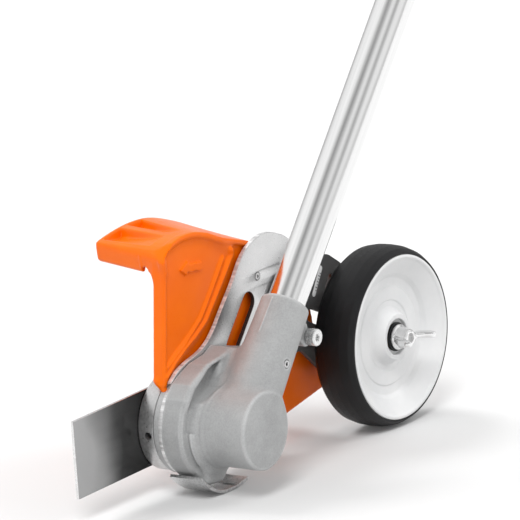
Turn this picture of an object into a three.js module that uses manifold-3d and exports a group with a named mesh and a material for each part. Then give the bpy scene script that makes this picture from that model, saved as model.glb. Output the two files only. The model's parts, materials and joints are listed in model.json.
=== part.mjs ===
// Lawn edger head on its drive tube. Millimetres, +X forward, +Y to the operator's left, +Z up.
// The working frame has the output shaft above X = 0 and the blade's inner face at Y = 0, with
// the ground at Z = 0. The exported group is shifted so that the origin is on the skid's sole.

import * as THREE from 'three';
import { ConvexGeometry } from 'three/addons/geometries/ConvexGeometry.js';
import { mergeVertices } from 'three/addons/utils/BufferGeometryUtils.js';
import Module from 'manifold-3d';

const wasm = await Module();
wasm.setup();

// Driving dimensions

const GAP = 0.3; // clearance between touching pieces
const AXIS_Z = 45.7; // output shaft above the ground

const TUBE_LEAN = THREE.MathUtils.degToRad(40.3);
const TUBE_Y = 58.9;
const TUBE_R = 12.7;
const TUBE_WALL = 1.5;
const TUBE_START = 46; // distances along the tube are measured from the output shaft
const TUBE_END = 880;
const SHAFT_R = 4;
const SHAFT_END = TUBE_END + 14;

const NOSE_R = 26;
const NOSE_END = 78.5;
const FLANGE_R = 35.5;
const FLANGE_Y = [20.8, 37];
const WALL = 3.4; // casting wall
const COVER_R = 33.5;
const COVER_Y = [12.9, 20.5];
const SPIGOT_R = 23.6; // the cover's spigot in the casting's mouth
const SOCKET_R = [18.6, 16.2]; // at the foot and at the rim
const SOCKET_RIM = 90.7;
const SOCKET_FOOT = 16;

const GEAR_MODULE = 1.4;
const PINION_TEETH = 15;
const CROWN_TEETH = 21;
const GEAR_FACE = 0.38; // share of the cone distance that the teeth cover
const TOOTH_SHARE = 0.34; // tooth width at the pitch circle, of one pitch

const OUTPUT_R = 7.5;
const NOSE_BEARING = { bore: 4, outer: 8, width: 4.5, start: 71 };
const COVER_BEARING = { bore: 7.5, outer: 16, width: 9, start: 25 };
const PINION_BEARING = { bore: 4.5, outer: 12, width: 7, starts: [21, 30.5] };

const COLLAR_R = 32.5;
const COLLAR_Y = [0.3, 12];
const BLADE = { length: 203, width: 52, thickness: 2, tilt: THREE.MathUtils.degToRad(-1.36) };
const PILOT_R = 10;

const PLATE_Y = [17.2, 20.5];
const PLATE_SLOT = { n: -13.1, r: 7, from: 62, to: 94.5 };
const DEFLECTOR_Y = [13.6, 16.8];
const DEFLECTOR_REACH = -45; // how far the hood reaches over the blade
const HOOD = 2.8;

const BRACKET_Y = [20.8, 24];
const WHEEL_X = -189.3;
const WHEEL_R = 61;
const WHEEL_Y = [28, 60];
const SLOT_ANGLE = THREE.MathUtils.degToRad(24.6);
const SLOT_TRAVEL = [-4, 52];
const AXLE_R = 4;
const SLEEVE_R = 6;

const SKID = { y: [18.3, 43], thickness: 2, sole: [-14, -5] };
const ORIGIN = [(SKID.sole[0] + SKID.sole[1]) / 2, (SKID.y[0] + SKID.y[1]) / 2, 0];

const BIG = 32; // sides of the large round pieces, and of the smaller ones
const MID = 20;
const SMALL = 12;

// Frames: the output shaft runs along Y; the tube's frame has its Y axis along the tube

const edger = new THREE.Group();
edger.position.set(-ORIGIN[0], -ORIGIN[1], -ORIGIN[2]);

const output = new THREE.Group();
output.position.set(0, 0, AXIS_Z);
edger.add(output);

const driveline = new THREE.Group();
driveline.position.set(0, TUBE_Y, AXIS_Z);
driveline.quaternion.setFromRotationMatrix(new THREE.Matrix4().makeBasis(
  new THREE.Vector3(Math.cos(TUBE_LEAN), 0, Math.sin(TUBE_LEAN)),
  new THREE.Vector3(-Math.sin(TUBE_LEAN), 0, Math.cos(TUBE_LEAN)),
  new THREE.Vector3(0, -1, 0),
));
edger.add(driveline);
driveline.updateMatrix();

const wheelGroup = new THREE.Group();
wheelGroup.position.set(WHEEL_X, 0, WHEEL_R);
edger.add(wheelGroup);

// A point of the X-Z plane given by its distance in front of the tube's axis and along it
const byTube = (n, t) => new THREE.Vector2(
  n * Math.cos(TUBE_LEAN) - t * Math.sin(TUBE_LEAN),
  AXIS_Z + n * Math.sin(TUBE_LEAN) + t * Math.cos(TUBE_LEAN),
);

// Materials

const material = (color, roughness, metalness) => (
  new THREE.MeshStandardMaterial({ color, roughness, metalness })
);
const castAluminium = material(0xb4b5b4, 0.55, 0.8);
const anodised = material(0xd8d9da, 0.25, 0.95);
const steel = material(0x9a9c9e, 0.35, 0.95);
const zinc = material(0xc2c4c6, 0.35, 0.9);
const mirrorSteel = material(0x8d9093, 0.08, 1.0);
const chrome = material(0xdfe2e4, 0.08, 1.0);
const orangePlastic = material(0xf07a10, 0.3, 0.0);
const darkPaint = material(0x4a4b4d, 0.5, 0.4);
const whitePlastic = material(0xe9eaeb, 0.5, 0.0);
const blackRubber = material(0x232426, 0.75, 0.0);
const bronze = material(0xb08d57, 0.4, 0.8);

function add(group, name, geometry, finish, y = 0) {
  const mesh = new THREE.Mesh(geometry, finish);
  mesh.name = name;
  mesh.position.y = y;
  group.add(mesh);
  return mesh;
}

// Identical pieces, numbered from 1
function addEach(group, name, geometries, finish) {
  geometries.forEach((geometry, i) => add(group, `${name}_${i + 1}`, geometry, finish));
}

// Solids

function solid(geometry) {
  const bare = geometry.clone();
  bare.deleteAttribute('normal');
  bare.deleteAttribute('uv');
  const merged = mergeVertices(bare, 1e-4);
  return new wasm.Manifold(new wasm.Mesh({
    numProp: 3,
    vertProperties: merged.attributes.position.array,
    triVerts: new Uint32Array(merged.index.array),
  }));
}

function geometryOf(manifold) {
  const mesh = manifold.getMesh();
  const geometry = new THREE.BufferGeometry();
  geometry.setAttribute('position', new THREE.BufferAttribute(new Float32Array(mesh.vertProperties), 3));
  geometry.setIndex(new THREE.BufferAttribute(new Uint32Array(mesh.triVerts), 1));
  const flat = geometry.toNonIndexed();
  flat.computeVertexNormals();
  return flat;
}

const join = (...parts) => geometryOf(parts.map(solid).reduce((a, b) => a.add(b)));
const cut = (body, ...tools) => geometryOf(tools.map(solid).reduce((a, b) => a.subtract(b), solid(body)));

// A ring or disc about the Y axis between two heights
function ring(inner, outer, y0, y1, sides = MID) {
  const profile = inner > 0
    ? [[inner, y0], [outer, y0], [outer, y1], [inner, y1], [inner, y0]]
    : [[0, y0], [outer, y0], [outer, y1], [0, y1]];
  return turned(profile, sides);
}

function turned(profile, sides = MID) {
  return new THREE.LatheGeometry(profile.map(([r, y]) => new THREE.Vector2(r, y)), sides);
}

// A flat plate in the X-Z plane between two Y values
function plate(shape, y0, y1, curveSegments = 10) {
  const geometry = new THREE.ExtrudeGeometry(shape, {
    depth: y1 - y0, bevelEnabled: false, curveSegments,
  });
  return geometry.rotateX(Math.PI / 2).translate(0, y1, 0);
}

function slotPath(from, to, r) {
  const along = Math.atan2(to.y - from.y, to.x - from.x);
  const path = new THREE.Path();
  path.absarc(to.x, to.y, r, along + Math.PI / 2, along - Math.PI / 2, true);
  path.absarc(from.x, from.y, r, along - Math.PI / 2, along - 1.5 * Math.PI, true);
  path.closePath();
  return path;
}

const hole = (x, z, r) => new THREE.Path().absarc(x, z, r, 0, Math.PI * 2, true);

// A round peg along Y in the X-Z plane's place
const peg = (at, r, y0, y1, sides = SMALL) => ring(0, r, y0, y1, sides).translate(at.x, 0, at.y);

// Takes a shape from the tube's frame to the working frame
const fromTube = (geometry) => geometry.applyMatrix4(driveline.matrix);

// Drive tube, shaft and its bushes

function driveTube() {
  const tube = ring(TUBE_R - TUBE_WALL, TUBE_R, TUBE_START, TUBE_END, MID);
  const snapHole = ring(0, 4, 5, 20, SMALL).rotateX(-Math.PI / 2).translate(0, TUBE_END - 32, 0);
  const lockHole = ring(0, 2.5, 5, 20, SMALL).rotateX(-Math.PI / 2).translate(0, TUBE_END - 14, 0);
  add(driveline, 'drive_tube', cut(tube, snapHole, lockHole), anodised);
}

function driveShaft() {
  const square = new THREE.BoxGeometry(5.2, SHAFT_END - TUBE_END + 6, 5.2)
    .translate(0, (SHAFT_END + TUBE_END - 6) / 2, 0);
  const rod = ring(0, SHAFT_R, 22, TUBE_END - 5, SMALL);
  add(driveline, 'drive_shaft', join(rod, square), steel);
  const bushes = { shaft_bush_lower: 150, shaft_bush_middle: 460, shaft_bush_upper: 780 };
  for (const [name, at] of Object.entries(bushes)) {
    const body = ring(SHAFT_R + GAP, TUBE_R - TUBE_WALL - GAP, 0, 22, SMALL + 4);
    add(driveline, name, body, blackRubber, at);
  }
}

// Bevel gears. Both cones meet at the crossing of the two shafts; the large end of the teeth
// lies one cone distance away and the small end is the same outline, scaled towards the apex.

function bevelTeeth(teeth, otherTeeth, toothShare) {
  const pitchR = (GEAR_MODULE * teeth) / 2;
  const pitchY = (GEAR_MODULE * otherTeeth) / 2;
  const cone = Math.atan2(pitchR, pitchY);
  const level = (height) => [pitchR + height * Math.cos(cone), pitchY - height * Math.sin(cone)];
  const root = level(-1.15 * GEAR_MODULE);
  const tip = level(0.8 * GEAR_MODULE);
  const outline = [];
  for (let i = 0; i < teeth; i += 1) {
    const pitch = (2 * Math.PI) / teeth;
    const middle = i * pitch;
    const foot = pitch * (toothShare / 2 + 0.13);
    const crest = pitch * (toothShare / 2 - 0.1);
    for (const [[r, y], angle] of [[root, -foot], [tip, -crest], [tip, crest], [root, foot]]) {
      outline.push([r * Math.sin(middle + angle), y, r * Math.cos(middle + angle)]);
    }
  }
  const small = 1 - GEAR_FACE;
  const rim = outline.length;
  const vertices = [...outline, ...outline.map((p) => p.map((v) => v * small)), [0, root[1] + 1, 0],
    [0, root[1] * small - 0.5, 0]];
  const faces = [];
  for (let i = 0; i < rim; i += 1) {
    const next = (i + 1) % rim;
    faces.push(i, next, rim + next, i, rim + next, rim + i);
    faces.push(2 * rim, next, i, 2 * rim + 1, rim + i, rim + next);
  }
  const geometry = new THREE.BufferGeometry();
  geometry.setAttribute('position', new THREE.Float32BufferAttribute(vertices.flat(), 3));
  geometry.setIndex(faces.reverse());
  return geometry;
}

function pinionGear() {
  const teeth = bevelTeeth(PINION_TEETH, CROWN_TEETH, TOOTH_SHARE); // one points at the crown
  const hub = ring(0, 8.2, 14, 20.6, MID);
  const stem = ring(0, PINION_BEARING.bore - GAP, 14, 21.7, SMALL);
  add(driveline, 'pinion_gear', join(teeth, hub, stem), steel);
}

function crownGear() {
  const towardsTube = Math.atan2(-Math.sin(TUBE_LEAN), Math.cos(TUBE_LEAN));
  const teeth = bevelTeeth(CROWN_TEETH, PINION_TEETH, TOOTH_SHARE)
    .rotateX(Math.PI) // the teeth face the nose, and a space points at the pinion
    .rotateY(towardsTube)
    .translate(0, TUBE_Y, 0);
  const back = ring(0, 14.6, 39, 46.9, MID);
  const bore = ring(0, OUTPUT_R + GAP, 30, 70, MID);
  const keyway = new THREE.BoxGeometry(3.6, 30, 4).translate(0, 47, OUTPUT_R + 0.6);
  add(output, 'crown_gear', cut(join(teeth, back), bore, keyway), steel);
}

// Ball bearings: two races, and the balls in their cage between them

function bearing(name, group, { bore, outer, width }, start) {
  const race = (outer - bore) * 0.24;
  const innerRace = ring(bore, bore + race, start, start + width, MID);
  const outerRace = ring(outer - race, outer, start, start + width, MID);
  add(group, `${name}_inner_race`, innerRace, steel);
  add(group, `${name}_outer_race`, outerRace, steel);
  const ballR = (outer - bore) / 2 - race - GAP;
  const middleR = (outer + bore) / 2;
  const count = Math.floor((2 * Math.PI * middleR) / (ballR * 4));
  const balls = [ring(middleR - 0.5, middleR + 0.5, start + width / 2 - 1, start + width / 2 + 1, SMALL)];
  for (let i = 0; i < count; i += 1) {
    const angle = (2 * Math.PI * i) / count;
    balls.push(new THREE.IcosahedronGeometry(ballR, 0).translate(
      middleR * Math.sin(angle),
      start + width / 2,
      middleR * Math.cos(angle),
    ));
  }
  add(group, `${name}_ball_cage`, join(...balls), chrome);
}

function circlip(name, group, inner, outer, start, thickness = 1.2) {
  const clip = ring(inner, outer, start, start + thickness, MID);
  const opening = new THREE.BoxGeometry(5, 6, 8).translate(0, start, -(inner + outer) / 2);
  add(group, name, cut(clip, opening), steel);
}

// Output shaft and what turns with it

function outputShaft() {
  const profile = [
    [0, -15], [4.9, -15], [4.9, -2.5], [6.4, -2.5], [6.4, 12], [COVER_BEARING.bore - GAP, 12],
    [COVER_BEARING.bore - GAP, 48.9], [NOSE_BEARING.bore - GAP, 48.9],
    [NOSE_BEARING.bore - GAP, 75.2], [0, 75.2],
  ];
  const keySeat = new THREE.BoxGeometry(3.4, 8.2, 4).translate(0, 44, OUTPUT_R);
  add(output, 'output_shaft', cut(turned(profile, MID), keySeat), steel);
  const key = new THREE.BoxGeometry(2.8, 7.6, 2.4).translate(0, 44, OUTPUT_R - 0.3);
  add(output, 'drive_key', key, steel);
}

function thrustCollar() {
  const profile = [
    [6.7, COLLAR_Y[0]], [COLLAR_R, COLLAR_Y[0]], [COLLAR_R, COLLAR_Y[1]], [COLLAR_R - 3.5, COLLAR_Y[1]],
    [COLLAR_R - 3.5, 5.3], [12.5, 5.3], [12.5, 11.6], [6.7, 11.6], [6.7, COLLAR_Y[0]],
  ];
  const pilot = ring(6.7, PILOT_R - GAP, -1.7, 1, MID);
  const pinHole = ring(0, 2.6, 20, 40, SMALL).rotateZ(-Math.PI / 2).translate(0, 7.8, 0).rotateY(0.42);
  add(output, 'thrust_collar', cut(join(turned(profile, BIG), pilot), pinHole), zinc);
}

function edgerBlade() {
  const { length, width, thickness, tilt } = BLADE;
  const outline = new THREE.Shape()
    .moveTo(-length / 2, -width / 2)
    .lineTo(length / 2, -width / 2)
    .lineTo(length / 2, width / 2)
    .lineTo(-length / 2, width / 2)
    .closePath();
  outline.holes.push(hole(0, 0, PILOT_R));
  add(output, 'edger_blade', plate(outline, -thickness, 0, MID / 2), mirrorSteel).rotation.y = -tilt;
}

function bladeFasteners() {
  add(output, 'clamping_washer', turned([
    [5.3, -5.8], [17, -4.2], [19, -2.3], [12, -2.3], [5.3, -2.9], [5.3, -5.8],
  ], MID), zinc);
  const nut = join(ring(0, 9.4, -14, -7.5, 6), ring(0, 11, -7.5, -6.1, MID));
  add(output, 'blade_nut', cut(nut, ring(0, 5.2, -20, 0, SMALL)), steel);
}

function bearingCover() {
  const body = turned([
    [8.6, COVER_Y[0]], [COVER_R, COVER_Y[0]], [COVER_R, COVER_Y[1]], [SPIGOT_R, COVER_Y[1]],
    [SPIGOT_R, 36.4], [COVER_BEARING.outer - 1, 36.4], [COVER_BEARING.outer - 1, 34.3],
    [COVER_BEARING.outer + GAP, 34.3], [COVER_BEARING.outer + GAP, 24.7], [12.4, 24.7], [12.4, 15],
    [8.6, 15], [8.6, COVER_Y[0]],
  ], BIG);
  add(output, 'bearing_cover', cut(body, ...screwHoles(2.9, 10, 22)), castAluminium);
  add(output, 'shaft_seal', ring(OUTPUT_R, 12.1, 15.3, 22.3, MID), blackRubber);
}

// Four screws hold the cover on the casting
const COVER_SCREWS = [6, 96, 186, 276].map((deg) => THREE.MathUtils.degToRad(deg));
const COVER_SCREW_R = 28.6;

function screwHoles(r, y0, y1) {
  return COVER_SCREWS.map((angle) => ring(0, r, y0, y1, 12)
    .translate(COVER_SCREW_R * Math.sin(angle), 0, COVER_SCREW_R * Math.cos(angle)));
}

function coverScrews() {
  const screws = COVER_SCREWS.map((angle) => turned([
    [0, 13.2], [2.6, 13.2], [2.6, 29.4], [0, 29.4],
  ], 12).translate(COVER_SCREW_R * Math.sin(angle), 0, COVER_SCREW_R * Math.cos(angle)));
  addEach(output, 'cover_screw', screws, zinc);
}

// Gearbox casting: flange, nose and tube socket, with a pad that carries the mounting plate

const PAD = [ // outline of the pad above the flange, in X and height
  [27, 68], [20.5, 76.5], [1.7, 86], [-24.8, 89.6], [-64.1, 79.4], [-52, 45], [-30, 28], [20, 32],
];
const PLATE_SCREWS = [[-19, 82.5], [-39, 70.2], [-33, 24.5]]; // from the plate into the casting
const POCKET_FLOOR = 28;
const PLUG_T = 48.3; // the grease plug's place along the tube
const CLAMP = { n: -22.6, t: 79, r: 6.5 };
const EAR_REACH = 10; // the clamp's ears on each side of the tube's axis

function casting() {
  const shell = turned([
    [0, FLANGE_Y[0]], [FLANGE_R, FLANGE_Y[0]], [FLANGE_R - 0.6, FLANGE_Y[1]], [33, 39.5],
    [NOSE_R + 2.5, 42], [NOSE_R, 46], [NOSE_R, NOSE_END - 0.8], [NOSE_R - 0.8, NOSE_END],
    [NOSE_R - 9, NOSE_END + 0.8], [0, NOSE_END + 0.8],
  ], BIG).translate(0, 0, AXIS_Z);
  const socket = fromTube(turned([
    [0, SOCKET_FOOT], [SOCKET_R[0], SOCKET_FOOT], [SOCKET_R[0], 32], [SOCKET_R[1] + 0.4, SOCKET_RIM - 14],
    [SOCKET_R[1], SOCKET_RIM], [0, SOCKET_RIM],
  ], BIG));
  const padShape = new THREE.Shape(PAD.map(([x, z]) => new THREE.Vector2(x, z)));
  const pad = plate(padShape, FLANGE_Y[0], 35);
  const earWeb = new THREE.BoxGeometry(16, 2 * CLAMP.r, 2 * EAR_REACH).translate(CLAMP.n + 8, CLAMP.t, 0);
  const ears = join(fromTube(earWeb),
    peg(byTube(CLAMP.n, CLAMP.t), CLAMP.r, TUBE_Y - EAR_REACH, TUBE_Y + EAR_REACH, MID));
  return join(shell, socket, pad, gusset(), ears, lowerBoss(), skidFoot());
}

// The web between the pad and the socket is the hull of both
function gusset() {
  const points = [];
  for (const [x, z] of [[-24.8, 89.6], [-64.1, 79.4], [-50, 45], [0, 60]]) {
    points.push(new THREE.Vector3(x, FLANGE_Y[0], z), new THREE.Vector3(x, 27, z - 2));
  }
  for (const t of [22, 49]) {
    for (let i = 0; i < 20; i += 1) {
      const angle = (2 * Math.PI * i) / 20;
      const at = byTube(17.2 * Math.cos(angle), t);
      points.push(new THREE.Vector3(at.x, TUBE_Y + 17.2 * Math.sin(angle), at.y));
    }
  }
  return new ConvexGeometry(points);
}

// A pocket in the flange's rim above the nose leaves the end of the top cover screw open
function browPocket() {
  const outline = new THREE.Shape()
    .moveTo(-12, 84)
    .quadraticCurveTo(6, 84.5, 14, 80.5)
    .quadraticCurveTo(22, 76, 25, 66)
    .quadraticCurveTo(18, 71.5, 6, 73)
    .quadraticCurveTo(-4, 76.5, -12, 84);
  return plate(outline, POCKET_FLOOR, FLANGE_Y[1] + 4, 4);
}

const lowerBoss = () => peg(new THREE.Vector2(...PLATE_SCREWS[2]), 6.5, FLANGE_Y[0], 34);

// A foot under the flange takes the skid's screws
function skidFoot() {
  const outline = new THREE.Shape([[-9, 20], [-7, 7], [6, 7], [24, 21], [18, 32]]
    .map(([x, z]) => new THREE.Vector2(x, z)));
  return plate(outline, 22, 40);
}

function gearboxHousing() {
  const cavity = turned([
    [0, 18], [SPIGOT_R + GAP, 18], [SPIGOT_R + GAP, 37], [NOSE_R - WALL, 37], [NOSE_R - WALL, 70.7],
    [NOSE_BEARING.outer + GAP, 70.7], [NOSE_BEARING.outer + GAP, 75.8], [0, 75.8],
  ], BIG).translate(0, 0, AXIS_Z);
  const bore = fromTube(turned([
    [0, 10], [PINION_BEARING.outer + GAP, 10], [PINION_BEARING.outer + GAP, 45],
    [TUBE_R + GAP, 45], [TUBE_R + GAP, 100], [0, 100],
  ], MID));
  const clampSlit = fromTube(new THREE.BoxGeometry(30, 60, 1.6).translate(-25, 90, 0));
  const at = byTube(CLAMP.n, CLAMP.t);
  const clampHole = peg(at, 3.4, 40, 80);
  const plugAt = byTube(0, PLUG_T);
  const plugHole = peg(plugAt, 2.6, 70, 90);
  const screws = screwHoles(2.9, 10, 32).map((g) => g.translate(0, 0, AXIS_Z));
  const plateHoles = PLATE_SCREWS.map(([x, z]) => peg(new THREE.Vector2(x, z), 2.8, 10, 29.3, 12));
  const skidHoles = SKID_SCREWS.map((y) => skidPeg(2.3, -12, 9.3, y));
  const holes = [clampHole, plugHole, ...screws, ...plateHoles, ...skidHoles];
  const body = cut(casting(), browPocket(), cavity, bore, clampSlit, ...holes,
    skidShape(SKID.thickness + GAP, 10, 50, 0.4));
  add(edger, 'gearbox_housing', body, castAluminium);
  const plug = join(peg(plugAt, 2.2, 72.3, 75.5), peg(plugAt, 2.4, 74.6, 76.2));
  add(edger, 'grease_plug', plug, zinc);
  const seat = TUBE_Y + EAR_REACH + GAP;
  const screw = join(peg(at, 3, TUBE_Y - EAR_REACH - 1, seat + 1), peg(at, 5.7, seat, 76, MID));
  add(edger, 'clamp_screw', screw, zinc);
}

// Skid: a bent steel strip under the gearbox

const SKID_SCREWS = [25.5, 36];

// The strip's underside from rear to front: a flat sole, then two arcs that rise to the front
function skidLine(offset) {
  const points = [[-27 - offset * 0.15, 2.6]];
  let [x, z] = [SKID.sole[0], 0];
  points.push([x, z]);
  [x, z] = [SKID.sole[1], 0];
  let heading = 0;
  points.push([x, z]);
  for (const [radius, turn, steps] of [[32, 26, 5], [60, 20, 4]]) {
    const step = THREE.MathUtils.degToRad(turn) / steps;
    for (let i = 0; i < steps; i += 1) {
      heading += step / 2;
      x += radius * step * Math.cos(heading);
      z += radius * step * Math.sin(heading);
      heading += step / 2;
      points.push([x, z]);
    }
  }
  return points.map(([px, pz], i) => {
    const [ax, az] = points[Math.max(i - 1, 0)];
    const [bx, bz] = points[Math.min(i + 1, points.length - 1)];
    const length = Math.hypot(bx - ax, bz - az);
    return new THREE.Vector2(px - (offset * (bz - az)) / length, pz + (offset * (bx - ax)) / length);
  });
}

function skidShape(thickness, y0, y1, below = 0) {
  return plate(new THREE.Shape([...skidLine(-below), ...skidLine(thickness).reverse()]), y0, y1);
}

// A peg square to the strip where its screws go, from below the strip up into the foot
function skidPeg(r, from, to, y) {
  return ring(0, r, from, to, 12).rotateX(Math.PI / 2).rotateY(0.42).translate(7.6, y, 5.2);
}

function skid() {
  const holes = SKID_SCREWS.map((y) => skidPeg(2.5, -6, 6, y));
  add(edger, 'skid', cut(skidShape(SKID.thickness, ...SKID.y), ...holes), zinc);
  const screws = SKID_SCREWS.map((y) => skidPeg(2.1, -1.6, 8.6, y));
  addEach(edger, 'skid_screw', screws, steel);
}

// Mounting plate with its slot, screwed to the casting; the deflector hangs behind it

const DEFLECTOR_SCREWS = [[-13, 113.7], [-56, 104], [-30, 56]]
  .map(([n, t]) => byTube(n, t));

function mountingPlate() {
  const outline = new THREE.Shape();
  outline.moveTo(20.8, 76.6);
  outline.quadraticCurveTo(12.5, 83.5, 1.7, 86.4);
  outline.lineTo(-12, 89.2);
  outline.quadraticCurveTo(-24, 92.5, -31, 100.2);
  outline.lineTo(-62, 135);
  outline.quadraticCurveTo(-72, 146, -84, 149.7);
  outline.quadraticCurveTo(-100, 153.2, -117.3, 143.5);
  outline.quadraticCurveTo(-131, 134, -129, 118);
  outline.lineTo(-118, 84);
  outline.lineTo(-62, 38);
  outline.quadraticCurveTo(-44, 14, -32, 14.5);
  outline.lineTo(-20, 18);
  outline.absarc(0, AXIS_Z, 34.2, Math.PI * 1.25, THREE.MathUtils.degToRad(58), true);
  outline.closePath();
  const at = byTube(PLATE_SLOT.n, PLATE_SLOT.from);
  outline.holes.push(slotPath(at, byTube(PLATE_SLOT.n, PLATE_SLOT.to), PLATE_SLOT.r));
  const holes = [...PLATE_SCREWS.map(([x, z]) => peg(new THREE.Vector2(x, z), 2.8, 0, 40, 12)),
    ...DEFLECTOR_SCREWS.map((p) => peg(p, 2.8, 0, 40, 12)),
    ...BRACKET_BOLTS.map((p) => peg(p, 3.3, 0, 40, 12))];
  add(edger, 'mounting_plate', cut(plate(outline, ...PLATE_Y), ...holes), zinc);
  const screws = PLATE_SCREWS.map(([x, z]) => {
    const place = new THREE.Vector2(x, z);
    return join(peg(place, 2.5, 15, 28.8, 12), peg(place, 4.4, 14.2, PLATE_Y[0] - GAP, 12));
  });
  addEach(edger, 'plate_screw', screws, zinc);
}

// Deflector: a wall beside the blade and a hood that reaches over it

// Top lines of the hood from the foot of its front face to its rear foot, in X and height: at
// the wall, and at its far edge. The surface between them is ruled.
const NEAR_LINE = [
  [14.8, 147.5], [17, 157.5], [11, 164.5], [-5, 168.3], [-20, 167.6], [-35, 163.6], [-52, 156.5],
  [-84, 146.5], [-118, 133], [-137, 113], [-146, 90], [-151, 66], [-157, 46], [-160, 34],
];
const FAR_LINE = [
  [3.6, 151.4], [4.8, 159.8], [1, 162.5], [-18, 165.5], [-36, 166.5], [-54, 165], [-74, 159.5], [-98, 150],
  [-124, 135], [-139, 113], [-147, 90], [-151, 66], [-157, 46], [-160, 34],
];

// The points of a line of X and height, moved down square to it
function sunkLine(line, by) {
  return line.map(([x, z], i) => {
    const [ax, az] = line[Math.max(i - 1, 0)];
    const [bx, bz] = line[Math.min(i + 1, line.length - 1)];
    const length = Math.hypot(bx - ax, bz - az);
    return [x - (by * (bz - az)) / length, z + (by * (bx - ax)) / length];
  });
}

// The hood as a closed shell: its top lines, and the same lines moved in by its thickness.
// Its root is sunk a little into the wall.
function hood() {
  const sections = [[NEAR_LINE, DEFLECTOR_Y[1] - 0.5, 1.0], [FAR_LINE, DEFLECTOR_REACH, 0]]
    .map(([line, y, sink]) => [...sunkLine(line, sink), ...sunkLine(line, HOOD).reverse()]
      .map(([x, z]) => [x, y, z]));
  const [near, far] = sections;
  const count = near.length;
  const faces = [];
  for (let i = 0; i < count; i += 1) {
    const next = (i + 1) % count;
    const inside = i >= count / 2; // both skins are split along the same diagonals
    if (inside) faces.push(i, count + i, next, next, count + i, count + next);
    else faces.push(i, count + i, count + next, i, count + next, next);
  }
  for (let i = 0; i < count / 2 - 1; i += 1) {
    const back = count - 1 - i;
    faces.push(i, i + 1, back - 1, i, back - 1, back);
    faces.push(count + i, count + back - 1, count + i + 1, count + i, count + back, count + back - 1);
  }
  const geometry = new THREE.BufferGeometry();
  geometry.setAttribute('position', new THREE.Float32BufferAttribute([...near, ...far].flat(), 3));
  geometry.setIndex(faces);
  return geometry;
}

// The turned-back edge along the front of the wall
const FRONT_EDGE = [NEAR_LINE[0], [22.4, 74]];
const FRONT_LIP = 9.6;

function frontLip() {
  const [[topX, topZ], [footX, footZ]] = [[15, 153], [22.8, 76]];
  const outline = new THREE.Shape([[topX, topZ], [topX - 3.2, topZ], [footX - 3.2, footZ], [footX, footZ]]
    .map(([x, z]) => new THREE.Vector2(x, z)));
  return plate(outline, DEFLECTOR_Y[1] - FRONT_LIP, DEFLECTOR_Y[1]);
}

function deflector() {
  const outline = new THREE.Shape();
  outline.moveTo(...FRONT_EDGE[0]);
  outline.lineTo(...FRONT_EDGE[1]);
  outline.absarc(0, AXIS_Z, 35, THREE.MathUtils.degToRad(50), THREE.MathUtils.degToRad(212), false);
  outline.lineTo(-62, 14.5);
  outline.lineTo(-118, 22.7);
  outline.lineTo(-161, 30);
  for (const [x, z] of [...NEAR_LINE].reverse().slice(1, -1)) outline.lineTo(x, z);
  outline.closePath();
  const wall = plate(outline, ...DEFLECTOR_Y, 12);
  const recesses = PLATE_SCREWS.map(([x, z]) => peg(new THREE.Vector2(x, z), 5.4, 0, 40, 12));
  const holes = [...DEFLECTOR_SCREWS.map((p) => peg(p, 2.8, 0, 40, 12)), ...recesses,
    ...BRACKET_BOLTS.map((p) => peg(p, 8, 10, 40, 12))];
  add(edger, 'deflector', cut(join(wall, hood(), frontLip()), ...holes), orangePlastic);
  const screws = DEFLECTOR_SCREWS.map((p) => join(
    peg(p, 2.4, 10.3, PLATE_Y[1], 12),
    peg(p, 4.6, 9.9, DEFLECTOR_Y[0] - GAP, 12),
  ));
  addEach(edger, 'deflector_screw', screws, zinc);
}

// Wheel bracket: a dark plate with the slot in which the wheel's axle slides

const BRACKET_BOLTS = [[-40, 96], [-44, 74]].map(([n, t]) => byTube(n, t));
const slotPoint = (travel) => new THREE.Vector2(
  WHEEL_X + travel * Math.cos(SLOT_ANGLE),
  WHEEL_R + travel * Math.sin(SLOT_ANGLE),
);

function wheelBracket() {
  const outline = new THREE.Shape();
  outline.moveTo(...byTube(-30, 60).toArray());
  outline.lineTo(...byTube(-30, 118).toArray());
  outline.quadraticCurveTo(...byTube(-30, 128).toArray(), ...byTube(-42, 131).toArray());
  outline.lineTo(-159, 122.5);
  outline.quadraticCurveTo(-172, 117, -181, 106);
  outline.lineTo(-205, 70);
  outline.quadraticCurveTo(-211, 52, -196, 44.5);
  outline.lineTo(-150, 43);
  outline.lineTo(-143, 47.4);
  outline.lineTo(-123, 65);
  outline.lineTo(...byTube(-48, 56).toArray());
  outline.closePath();
  outline.holes.push(slotPath(slotPoint(SLOT_TRAVEL[0]), slotPoint(SLOT_TRAVEL[1] + 6), AXLE_R + GAP));
  outline.holes.push(slotPath(new THREE.Vector2(-161.8, 105.6), new THREE.Vector2(-157, 99.2), 1.9));
  const holes = BRACKET_BOLTS.map((p) => peg(p, 3.3, 0, 40, 12));
  add(edger, 'wheel_bracket', cut(plate(outline, ...BRACKET_Y, 8), ...holes), darkPaint);
  const bolts = BRACKET_BOLTS.map((p) => join(
    peg(p, 3, 10.5, 25, 12),
    peg(p, 5.5, BRACKET_Y[1] + GAP, 27.4, 6),
  ));
  addEach(edger, 'bracket_bolt', bolts, zinc);
  const nuts = BRACKET_BOLTS.map((p) => cut(
    peg(p, 5.6, 12, PLATE_Y[0] - GAP, 6),
    peg(p, 3.3, 5, 20, 12),
  ));
  addEach(edger, 'bracket_nut', nuts, zinc);
}

// Wheel: disc, tyre and bush turn on a sleeve that the wing nut clamps against the bracket

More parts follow.
